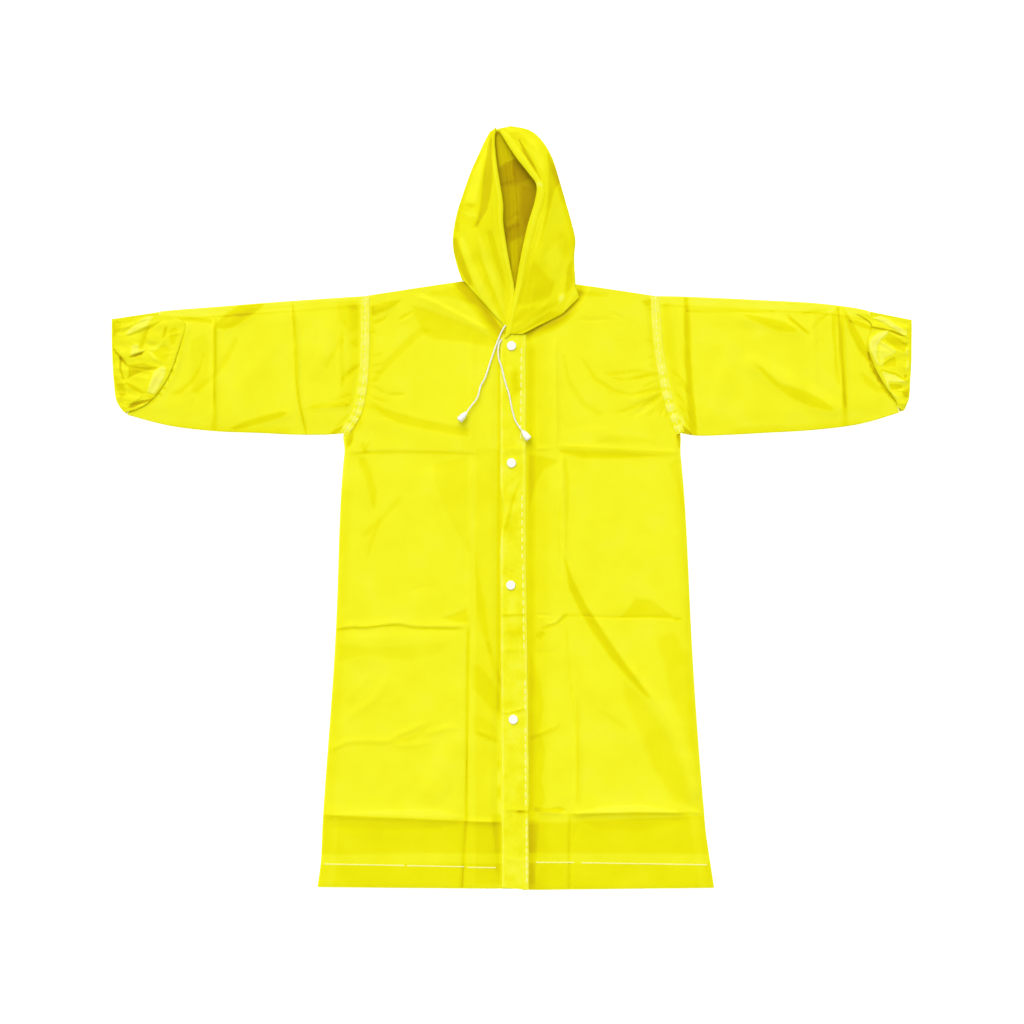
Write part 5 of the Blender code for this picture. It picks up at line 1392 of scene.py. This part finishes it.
# %% [markdown]
# ## The hood
#
# Two halves, welded along the middle of the head. Each half runs from that seam, under the
# whole width of the flattened hood, round its side fold and over to the face edge, where a
# channel for the drawcord stands up and the edge rolls under. The right half laps over the left
# one at the neck. The face opening shows the inside, painted deep ochre as painted shade, with
# the centre seam on it.

# %% Hood tables, neck to crown
HOOD_SEAM = (
    (5, 304.4), (5, 319), (5, 336), (4.5, 357), (4, 383), (3, 409), (1.5, 437), (-1, 465), (-4, 492),
    (-9.5, 514), (-17.5, 532),
)
# x and y of the side fold, x and y of the face edge, height of the face edge, bulge
HOOD_LEFT = (
    (-69,318.4, -5,250, 3.9, 0.6), (-76,338, 0.5,272, 3.9, 2.6), (-82,365, 4,303, 3.9, 3.6),
    (-81.5,387, -5,352, 7.6, 3.6), (-76,415, -12,397, 10, 2.6), (-68,440, -12.5,426, 11, 1.6),
    (-57,471, -17.5,458, 11, 1.2), (-50,487, -21,480, 10, 1), (-44,500, -23,498, 8, 0.8),
    (-37.5,514, -24,515, 6.4, 0.4), (-30.5,527, -21.5,533, 4.8, 0.2),
)
HOOD_RIGHT = (
    (90,314.4, -9,237.5, 5.6, 0.6), (88.5,334, -5,260, 5.6, 2.4), (88,354, 5,303, 5.8, 3.6),
    (89.5,376, 13,349, 8.6, 3.6), (84,401, 23,394, 11, 2.6), (76,429, 33.5,429, 12.5, 1.6),
    (67,460, 35.5,451, 13, 1.2), (57,491, 26,466, 12, 1.4), (43,514.5, 6.5,491, 10.5, 1.4),
    (25,529.5, -7,512, 8, 0.8), (-1,535, -17,528.5, 5.4, 0.2),
)
# Where the right half's neck edge laps over the front: share of the way over, shift x, shift y
NECK_LAP = (
    (0, 0, 0), (0.12, 17.7, -10.3), (0.3, 10.6, -20.9), (0.5, 0.4, -20.7), (0.7, 4, -14), (0.88, 6, -8.6),
    (1, 0, 0),
)
FOLDS_HOOD_LEFT = (
    ("crown_ridge", SWELL, 1.4, 6, 8, -54,420, -44,460, -37,500),
    ("facet_high", CREASE, 1.2, 10, 5, -76,428, -58,416, -46,412),
    ("facet_low", CREASE, 1.2, 6, 9, -70,374, -74,392, -80,414),
    ("step", CREASE, 0.8, 8, 3, -56,418, -48,400, -38,388),
    ("cheek_soft", SWELL, 1.2, 12, 12, -66,340, -50,366, -40,400),
    ("neck_gather_a", CREASE, 1.2, 5, 5, -44,298, -40,316, -34,340),
    ("neck_gather_b", CREASE, 1.1, 4, 5, -30,284, -26,304, -20,330),
    ("neck_gather_c", CREASE, 1.1, 5, 5, -60,312, -60,330, -56,352),
    ("band_side", CREASE, -1, 4, 3, -8,268, -9,300, -18,350, -24,397, -27,440, -32,480),
)
FOLDS_HOOD_RIGHT = (
    ("crown_crease", CREASE, -1.6, 6, 6, 10,514, 28,484, 45,454),
    ("crown_bulge", SWELL, 1.4, 9, 10, 24,524, 44,494, 58,460),
    ("cheek_ridge", SWELL, 1.4, 9, 10, 40,330, 42,370, 48,420),
    ("neck_fold", CREASE, 2, 8, 6, 72,288, 75,316, 76,344),
    ("neck_line", CREASE, 1.5, 7, 5, -8,246, 20,262, 48,282, 70,292),
    ("neck_gather_a", CREASE, 1.3, 5, 5, 22,258, 30,292, 34,326),
    ("neck_gather_b", CREASE, 1.2, 5, 5, 44,270, 52,300, 56,332),
    ("band_side", CREASE, -1, 3, 4, 8,262, 16,300, 28,350, 40,392, 48,424),
)
# Painted shade along the side folds. In the patches, darker tones are painted shade in valleys, folds and under
# the neck roll, and paler tones painted highlight on facets and ridges
TONES_HOOD_LEFT = (
    ("fold_side", SWELL, 0.18, 8, 10, -84,330, -84,390, -66,450, -44,506),
)
TONES_HOOD_RIGHT = (
    ("fold_side", SWELL, 0.22, 10, 9, 92,330, 90,376, 76,430, 56,492),
)
PATCHES_HOOD_LEFT = (
    ("side_dark", 0.3, -0.3, 3, -83,378, -76,381, -68,356, -58,330, -51,308, -61,311, -74,333, -82,358),
    ("bright_long", -0.16, 0.5, 3, -75,378, -66,381, -52,344, -37,311, -20,279, -9,255, -23,265, -43,293,
        -58,322, -71,356),
    ("valley_long", 0.12, -0.4, 3, -50,358, -40,347, -24,308, -12,272, -20,283, -38,316),
    ("bright_middle", -0.13, 0.4, 3, -50,389, -40,378, -30,350, -16,315, -8,280, -5,260, -15,276, -29,311,
        -41,344),
    ("valley_band", 0.2, -0.5, 3, -37,389, -26,388, -16,356, -9,326, -4,293, -12,309, -27,347),
    ("crown_valley", 0.34, -0.6, 4, -30,528, -24,515, -24,487, -24,459, -27,437, -31,417, -40,402, -47,392,
        -54,389, -50,402, -46,420, -44,441, -40,476, -34,511),
    ("cheek_bright", -0.14, 0.3, 4, -55,476, -40,496, -40,466, -47,423, -68,426, -65,445),
    ("facet_a", 0.18, -0.4, 1.5, -72,424, -58,426, -48,421, -57,417),
    ("facet_b", -0.14, 0.4, 2, -69,416, -58,416, -47,412, -46,405, -61,405),
    ("facet_c", 0.12, -0.4, 1.5, -57,391, -50,403, -41,400, -44,391),
    ("facet_d", 0.16, -0.3, 2, -79,403, -72,400, -71,386, -78,384),
    ("crown_edge", 0.14, 0, 2, -36,526, -24,528, -19,524, -23,515, -30,521),
)
PATCHES_HOOD_RIGHT = (
    ("crown_crease", 0.42, -0.6, 1, 8,517, 12,515, 20,501, 30,484, 41,462, 44,454, 40,458, 27,480, 16,498),
    ("crown_second", 0.2, -0.3, 1.2, 10,504, 16,501, 29,482, 38,462, 31,470, 19,490),
    ("crown_light", -0.1, 0.3, 3, 15,522, 33,512, 47,487, 48,459, 40,473, 26,498),
    ("corner", -0.3, 0.4, 1.5, 30,456, 41,456, 46,449, 36,448),
    ("valley", 0.26, -0.6, 4, 48,498, 55,498, 62,482, 71,459, 62,442, 55,414, 48,389, 41,365, 31,342, 41,381,
        47,414, 50,445, 50,476),
    ("side_shade", 0.12, 0, 4, 62,480, 74,459, 79,431, 71,424, 62,445),
    ("lower_dark", 0.2, -0.3, 5, 18,326, 30,350, 41,339, 55,322, 64,315, 59,300, 51,290, 34,286, 18,281, 6,281,
        10,302),
    ("cheek_light", -0.08, 0.2, 5, 41,350, 57,370, 76,381, 76,350, 62,330, 51,336),
    ("fold_dark", 0.26, -0.5, 1.8, 78,339, 86,350, 88,314, 80,302, 74,294, 76,319),
    ("corner_bright", -0.4, 0.5, 1.4, 64,293, 69,300, 75,297, 72,290, 66,286),
    ("under_highlight", 0.26, -0.4, 2, 55,277, 74,272, 57,263, 37,256, 6,241, -10,238, -2,245, 18,251, 37,265),
    ("lap_bright", -0.14, 0.3, 1.8, 88,307, 93,302, 82,286, 75,273, 71,277, 78,291),
    ("neck_dark", 0.16, -0.2, 4, 12,280, 40,283, 62,291, 71,286, 51,274, 26,263, 5,255, 1,263),
    ("crown_mid", 0.14, -0.3, 4, -5,526, 9,529, 29,512, 40,493, 29,498, 12,511, -2,515),
    ("side_low", 0.08, -0.1, 6, 65,386, 79,389, 86,368, 82,350, 68,344, 62,361),
)
# Inside the hood: darker patches add painted shade, paler ones painted light, to the inside's painted shade
PATCHES_INSIDE = (
    ("top_light", -0.3, 0, 2, -23,521, -15,526, 6,491, 2,487, -9,482, -18,475),
    ("core_dark", 0.2, 0, 4, 1,487, 6,491, 18,479, 31,462, 15,455, 4,456, -1,470),
    ("core_line", 0.14, 0, 2, 4,487, 8,487, 8,458, 4,458),
    ("left_light", -0.12, 0, 3, -16,451, 12,454, 12,420, -1,406, -12,389),
    ("right_dark", 0.1, 0, 3, 13,454, 34,449, 33,428, 26,398, 16,391, 12,417),
    ("fold_low", 0.36, 0, 1.2, -8,391, 10,399, 13,396, 4,392, -6,386),
    ("fold_left", 0.36, 0, 1.2, -12,388, -5,385, -5,378, -10,375),
    ("light_low", -0.16, 0, 2, -8,400, 5,412, 12,409, 4,398, -8,392),
    ("bottom_light", -0.26, 0, 3, -6,372, 19,385, 13,353, 6,308, 3,297, -2,330),
    ("cross_line", 0.16, 0, 1, -16,454, 5,461, 26,463, 26,461, 5,457, -16,451),
)
HOOD_STEPS = 12                 # grid rows to a table row
HOOD_UNDER = 26
HOOD_TURN = 5
HOOD_OVER = 46
HOOD_CROWD = (0.85, 0.12, 1.6)          # columns crowd at the channel: share, width, gain
HOOD_WAVER = ((0.35, 18.0), (0.12, 7.0))
HALF_SEAM = 0.15                # half the gap between the halves
LAP_SPAN = 0.92                 # the neck's lap ends before the channel
HOOD_BAND = {-1.0: 8.0, 1.0: 12.0}      # drawcord channel along the face edge, left and right half
HOOD_BAND_MOST = 0.35
HOOD_FOLD_LEVEL = 4.0
CHANNEL_RISE = 0.8
HOOD_CURL = ((0.7, -0.35), (0.9, -1.0), (0.2, -1.5), (-2.5, -1.7), (-6.0, -1.6))
# The inside of the flattened hood gets little light, so it is painted deep: painted shade
INSIDE_SHADE = 0.86
CROWN_PALE_Y = 527.0            # above it the inside catches the light
HOOD_TONE = 0.15
CHANNEL_LINE = 0.14             # the channel's weld is darker, its middle paler
CHANNEL_PALE = 0.12

# %% Hood sheets


def hood_sheet(table, side, lap, folds, tones, patches, seed):
    """Places and tones of a half: rows neck to crown, columns under side, fold, upper side, curl."""
    at = np.linspace(0, len(table) - 1, (len(table) - 1) * HOOD_STEPS + 1)
    rows = read([(*seam, *row) for seam, row in zip(HOOD_SEAM, table)], at)
    seam_x, seam_y, fold_x, fold_y, lip_x, lip_y, lip_z, bulge = (rows[:, k:k + 1] for k in range(8))
    seam_x = seam_x + side * HALF_SEAM
    half = HOOD_FOLD_LEVEL / 2.0
    back = np.hypot(fold_x - seam_x, fold_y - seam_y)
    near_x = fold_x + (seam_x - fold_x) * half / back
    near_y = fold_y + (seam_y - fold_y) * half / back
    under = np.linspace(0.0, 1.0, HOOD_UNDER)
    under_x, under_y = between(seam_x, near_x, under), between(seam_y, near_y, under)
    turn = np.linspace(0.0, math.pi, HOOD_TURN + 2)[1:-1]
    turn_x, turn_y = between(near_x, fold_x, np.sin(turn)), between(near_y, fold_y, np.sin(turn))
    turn_z = half - half * np.cos(turn) + 0.0 * near_x
    length = np.hypot(lip_x - near_x, lip_y - near_y)
    band = np.minimum(HOOD_BAND[side] / length, HOOD_BAND_MOST)
    over = crowded(HOOD_OVER, *HOOD_CROWD)
    over_x, over_y = between(near_x, lip_x, over), between(near_y, lip_y, over)
    fade = 1.0 - ease(at / 1.15)[:, None]
    lap_at, lap_x, lap_y = zip(*lap)
    over_x += np.interp(over / LAP_SPAN, lap_at, lap_x) * fade
    over_y += np.interp(over / LAP_SPAN, lap_at, lap_y) * fade
    share = over / (1.0 - band)
    rise = (lip_z - HOOD_FOLD_LEVEL) * ease(share) + bulge * np.sin(math.pi * np.minimum(share, 1.0))
    body = ease(over / 0.12) * ease((1.0 - over) / band)
    soft = waver(over_x, over_y, seed, *HOOD_WAVER)
    height = patches_at(over_x, over_y, patches)[0]
    over_z = HOOD_FOLD_LEVEL + rise + body * (RELIEF * folds_at(over_x, over_y, folds) + height + soft)
    in_band = np.clip((over - (1.0 - band)) / band, 0.0, 1.0)
    over_z += CHANNEL_RISE * np.sin(math.pi * in_band) ** 0.7 * ease(at / 0.5)[:, None]
    over_z = np.maximum(over_z, np.minimum(HOOD_FOLD_LEVEL, lip_z) - 0.1)
    way_x, way_y = (lip_x - near_x) / length, (lip_y - near_y) / length
    curl = np.array(HOOD_CURL)
    drop = np.minimum(1.0, (lip_z - 2.6) / 1.7)
    curl_x = over_x[:, -1:] + way_x * curl[:, 0]
    curl_y = over_y[:, -1:] + way_y * curl[:, 0]
    curl_z = over_z[:, -1:] + drop * curl[:, 1]
    x = np.hstack([under_x, turn_x, over_x, curl_x])
    y = np.hstack([under_y, turn_y, over_y, curl_y])
    z = np.hstack([np.zeros_like(under_x), turn_z, over_z, curl_z])
    # Tone: painted shade on the inside, fading where the crown catches the light; on the upper side its base
    # tone with painted shade and highlight; the channel darker along its inner edge and paler along its middle
    tone = np.zeros_like(x)
    tone[:, :HOOD_UNDER] = INSIDE_SHADE + patches_at(under_x, under_y, PATCHES_INSIDE)[1]
    tone[:, :HOOD_UNDER] *= 1.0 - ease((under_y - CROWN_PALE_Y) / 2.0)
    first = HOOD_UNDER + HOOD_TURN
    upper_x, upper_y = x[:, first - 2:], y[:, first - 2:]
    shade = folds_at(upper_x, upper_y, tones) + patches_at(upper_x, upper_y, patches)[1]
    tone[:, first - 2:] = HOOD_TONE + shade
    line = np.exp(-(in_band / 0.10) ** 2) * (in_band > 0.0)
    tone[:, first:first + HOOD_OVER] += CHANNEL_LINE * line - CHANNEL_PALE * np.sin(math.pi * in_band) ** 2
    return np.stack([x, y, z], axis=2), tone


NO_LAP = ((0.0, 0.0, 0.0), (1.0, 0.0, 0.0))
for side_name, *given in (
        ("left", HOOD_LEFT, -1.0, NO_LAP, FOLDS_HOOD_LEFT, TONES_HOOD_LEFT, PATCHES_HOOD_LEFT, 61),
        ("right", HOOD_RIGHT, 1.0, NECK_LAP, FOLDS_HOOD_RIGHT, TONES_HOOD_RIGHT, PATCHES_HOOD_RIGHT, 67)):
    places, tone = hood_sheet(*given)
    if side_name == "right":
        places, tone = places[:, ::-1], tone[:, ::-1]
    sheet(f"hood_{side_name}_sheet", places, tone, sheet_film, "sheet", "hood_" + side_name)

# %% [markdown]
# The centre seam inside the hood is a welded strip, as the armholes have. It lies over the line
# where the two halves meet.

# %% Hood seam strip
SEAM_STRIP_WIDTH = 10.4
SEAM_STRIP_LEVEL = 1.4
SEAM_STRIP_ROWS = 110
SEAM_STRIP_COLUMNS = 11


def seam_strip_places():
    line = read(HOOD_SEAM, np.linspace(0.1, len(HOOD_SEAM) - 1.6, SEAM_STRIP_ROWS))
    across = np.linspace(-0.5, 0.5, SEAM_STRIP_COLUMNS)
    x = line[:, :1] + SEAM_STRIP_WIDTH * across
    y = line[:, 1:2] + 0.0 * across
    groove = np.exp(-(across / 0.08) ** 2)
    z = SEAM_STRIP_LEVEL + 0.2 * mottle(x, y, 9.0, 71) - 0.25 * groove
    # The strip has the inside's painted shade, a little deeper in its groove
    tone = INSIDE_SHADE + patches_at(x, y, PATCHES_INSIDE)[1]
    return np.stack([x, y, z], axis=2), tone + 0.05 * groove


sheet("hood_seam_weld", *seam_strip_places(), weld_film, "weld")

# %% [markdown]
# ## Snaps and bell ends
#
# Four moulded caps hold the placket. Each is a low disc with a rounded edge and a shallow dish.
# The two bell ends close the drawcord: narrow at the cord, flared and blunt at the far end. Both
# are modelled as real mouldings are drawn: a round section that is pushed out step by step.

# %% Snap caps
SNAP_RADIUS = 6.4
SNAP_HEIGHT = 2.1
SNAP_BASE = 3.62
SNAP_SIDES = 48
SNAP_STEPS = ((1.6, 0.0), (0.7, -0.16), (2.6, 0.06))    # rim, groove and dish: inset, depth
SNAP_ROUND = 0.7


def select_top(piece, height):
    """Pick the flat face at a height, in edit mode."""
    bpy.ops.mesh.select_all(action="DESELECT")
    shape = bmesh.from_edit_mesh(piece.data)
    shape.faces.ensure_lookup_table()
    for face in shape.faces:
        flat = abs(face.normal.z) > 0.99 and abs(face.calc_center_median().z - height) < 0.01 * MM
        face.select_set(flat)
    bmesh.update_edit_mesh(piece.data)


def snap_cap(x, y):
    deselect()
    bpy.ops.mesh.primitive_cylinder_add(vertices=SNAP_SIDES, radius=SNAP_RADIUS * MM, depth=SNAP_HEIGHT * MM,
                                        location=(0.0, 0.0, SNAP_HEIGHT * MM / 2.0))
    cap = bpy.context.object
    bpy.ops.object.transform_apply()
    bpy.ops.object.mode_set(mode="EDIT")
    bpy.ops.mesh.select_mode(type="FACE")
    select_top(cap, SNAP_HEIGHT * MM)
    for inset, depth in SNAP_STEPS:
        bpy.ops.mesh.inset(thickness=inset * MM, depth=depth * MM)
    bpy.ops.object.mode_set(mode="OBJECT")
    bevel = cap.modifiers.new("rounded_edge", "BEVEL")
    bevel.width = SNAP_ROUND * MM
    bevel.segments = 3
    bevel.limit_method = "ANGLE"
    bevel.angle_limit = math.radians(50.0)
    bpy.ops.object.modifier_apply(modifier=bevel.name)
    bpy.ops.object.shade_smooth_by_angle(angle=math.radians(40.0))
    cap.location = (x * MM, y * MM, SNAP_BASE * MM)
    bpy.ops.object.transform_apply()
    return cap


for number, (x, y) in enumerate(SNAP_PLACES, start=1):
    dress(snap_cap(x, y), f"snap_cap_{number}", plastic, "snap", f"snap_{number}")
print("snap caps:", len(SNAP_PLACES))

# %% Bell ends
CORD_TURN = {"left": (-11.0, -12.0, 2.6), "right": (10.5, -13.0, 2.5)}
BELL_GAP = 0.45
BELL_PROFILE = (                # radius, distance from the cord's tip
    (1.8, 0.0), (2.3, 0.6), (2.5, 2.0), (3.1, 3.2), (3.7, 5.4), (4.3, 8.0), (4.6, 12.0),
    (4.6, 14.6), (4.3, 15.2), (3.7, 15.5), (2.4, 15.5), (2.0, 14.4),
)


def bell_end(tip, turn):
    """A turned shape, its narrow end at the cord's tip."""
    deselect()
    bpy.ops.mesh.primitive_circle_add(vertices=32, radius=BELL_PROFILE[0][0] * MM, fill_type="NGON")
    bell = bpy.context.object
    bpy.ops.object.mode_set(mode="EDIT")
    bpy.ops.mesh.select_mode(type="FACE")
    bpy.ops.mesh.select_all(action="SELECT")
    for (r0, h0), (r1, h1) in zip(BELL_PROFILE, BELL_PROFILE[1:]):
        bpy.ops.mesh.extrude_region_move(TRANSFORM_OT_translate={"value": (0.0, 0.0, (h1 - h0) * MM)})
        bpy.ops.transform.resize(value=(r1 / r0, r1 / r0, 1.0), center_override=(0.0, 0.0, h1 * MM))
    bpy.ops.mesh.select_all(action="SELECT")
    bpy.ops.mesh.normals_make_consistent(inside=False)
    bpy.ops.object.mode_set(mode="OBJECT")
    bpy.ops.object.shade_smooth_by_angle(angle=math.radians(45.0))
    way = Vector(turn).normalized()
    bell.rotation_mode = "QUATERNION"
    bell.rotation_quaternion = way.to_track_quat("Z", "Y")
    bell.location = (Vector(tip) + way * BELL_GAP) * MM
    bpy.ops.object.transform_apply()
    return bell


for side_name, (_tube, line) in cords.items():
    bell = bell_end(line[-1], CORD_TURN[side_name])
    dress(bell, "cord_bell_" + side_name, plastic, "snap", "cord_end_" + side_name)
    print(bell.name, len(bell.data.polygons), "faces")

# %% [markdown]
# ## Weld marks
#
# The sheet is welded, not sewn. A toothed wheel leaves a row of short pale dashes along the
# placket and the armholes, and a narrow bead along the hem. Each mark is a low bar that is laid
# on the finished cloth. Its pale colour is partly the pressed film's own and partly a painted
# highlight of the glint that the dashes catch.

# %% Weld marks
MARK_RISE = 0.25
# The marks are painted pale: partly the pressed film's own paleness, partly a painted highlight
MARK_PALE_AND_GLINT = -0.66
ABOVE_ALL = 0.05                # m, where the rays that find the cloth start
ARMHOLE_RUNS = 26
ARMHOLE_PITCH = 9.0
PLACKET_MARKS = (
    (13.9,226, 12.7,95, 11.4), (14.7,20, 15,-73, 11), (15.7,-78, 17.5,-199, 11.8), (19,-240, 19.4,-284, 12),
    (19.3,-306, 20,-418, 11.6), (20.8,-434, 21.4,-526, 10.6),
)
HEM_MARKS = (
    (-262,-498.4, -150,-500.4, 15), (-146,-500.6, -66,-502.2, 16), (-62,-503, -22,-503.6, 12),
    (34,-496, 92,-496.2, 14), (98,-496.6, 274,-499.4, 16),
)


def mark(x, y, turn, length, width, target):
    """A low bar on the cloth under it, or nothing where there is none."""
    found, place, _normal, _face = target.ray_cast((x * MM, y * MM, ABOVE_ALL), (0.0, 0.0, -1.0))
    if not found:
        return None
    bpy.ops.mesh.primitive_cube_add(size=MM, location=place, rotation=(0.0, 0.0, turn))
    bar = bpy.context.object
    bar.scale = (length, width, MARK_RISE * 2.0)
    return bar


def marks_along(name, rows, fill, width, target, slot):
    """Bars along straight runs, joined to one piece."""
    bars = []
    for ax, ay, bx, by, pitch in rows:
        length = math.hypot(bx - ax, by - ay)
        count = max(1, round(length / pitch))
        turn = math.atan2(by - ay, bx - ax)
        for k in range(count):
            share = (k + 0.5) / count
            place = between(ax, bx, share), between(ay, by, share)
            bars.append(mark(*place, turn, length / count * fill, width, target))
    bars = [bar for bar in bars if bar]
    deselect()
    for bar in bars:
        bar.select_set(True)
    bpy.context.view_layer.objects.active = bars[0]
    bpy.ops.object.join()
    piece = bpy.context.object
    bpy.ops.object.transform_apply()
    layer = piece.data.attributes.new("tone", "FLOAT", "POINT")
    layer.data.foreach_set("value", np.full(len(piece.data.vertices), MARK_PALE_AND_GLINT, np.float32))
    dress(piece, name, weld_film, slot)
    print(name, len(bars), "marks")


marks_along("placket_marks", PLACKET_MARKS, 0.62, 1.5, placket, "weld")
marks_along("hem_marks_left", HEM_MARKS[:3], 0.97, 1.5, made["front_left_sheet"], "weld")
marks_along("hem_marks_right", HEM_MARKS[3:], 0.97, 1.5, made["front_right_sheet"], "weld")
for side_name, armhole in (("left", ARMHOLE_LEFT), ("right", ARMHOLE_RIGHT)):
    line = read(armhole, np.linspace(0.05, len(armhole) - 1.05, ARMHOLE_RUNS))
    runs = [(*a, *b, ARMHOLE_PITCH) for a, b in zip(line, line[1:])]
    marks_along("armhole_marks_" + side_name, runs, 0.55, 1.2, strips[side_name], "weld")

# %% [markdown]
# ## Light and floor
#
# The picture is lit softly and nearly evenly, a little more from the top, so creases shade on
# their lower side. The white card under the coat is lit until it is almost pure white.

# %% Light and floor
# Name, way on the floor that the light comes from, elevation and spread in degrees, strength
LIGHTS = (
    ("key_light", (-0.25, 0.97), 40.0, 46.0, 2.28),
    ("left_fill", (-1.0, 0.1), 45.0, 50.0, 0.46),
    ("right_fill", (1.0, 0.1), 45.0, 50.0, 0.42),
    ("low_fill", (0.1, -1.0), 50.0, 50.0, 0.40),
)
LIGHT_DISTANCE = 3.0
SKY = 0.31
FLOOR_LEVEL = -0.3
FLOOR_SIZE = 4.2

for name, (way_x, way_y), elevation, spread, strength in LIGHTS:
    deselect()
    flat = math.cos(math.radians(elevation)) / math.hypot(way_x, way_y)
    place = Vector((way_x * flat, way_y * flat, math.sin(math.radians(elevation)))) * LIGHT_DISTANCE
    bpy.ops.object.light_add(type="SUN", location=place)
    light = bpy.context.object
    light.name = name
    light.rotation_mode = "QUATERNION"
    light.rotation_quaternion = (-place).to_track_quat("-Z", "Y")
    light.data.angle = math.radians(spread)
    light.data.energy = strength
    light.data.color = linear("#FFFFFF")[:3]

world = bpy.data.worlds.new("studio")
bpy.context.scene.world = world
world.use_nodes = True
sky = world.node_tree.nodes["Background"]
sky.inputs["Color"].default_value = linear("#FFFFFF")
sky.inputs["Strength"].default_value = SKY
bpy.context.scene.view_settings.view_transform = "Standard"

deselect()
bpy.ops.mesh.primitive_plane_add(size=FLOOR_SIZE, location=(0.0, 0.0, FLOOR_LEVEL * MM))
floor = bpy.context.object
floor.name = "floor"
bpy.ops.object.transform_apply()
floor.data.materials.append(card)
print("lights:", [row[0] for row in LIGHTS])
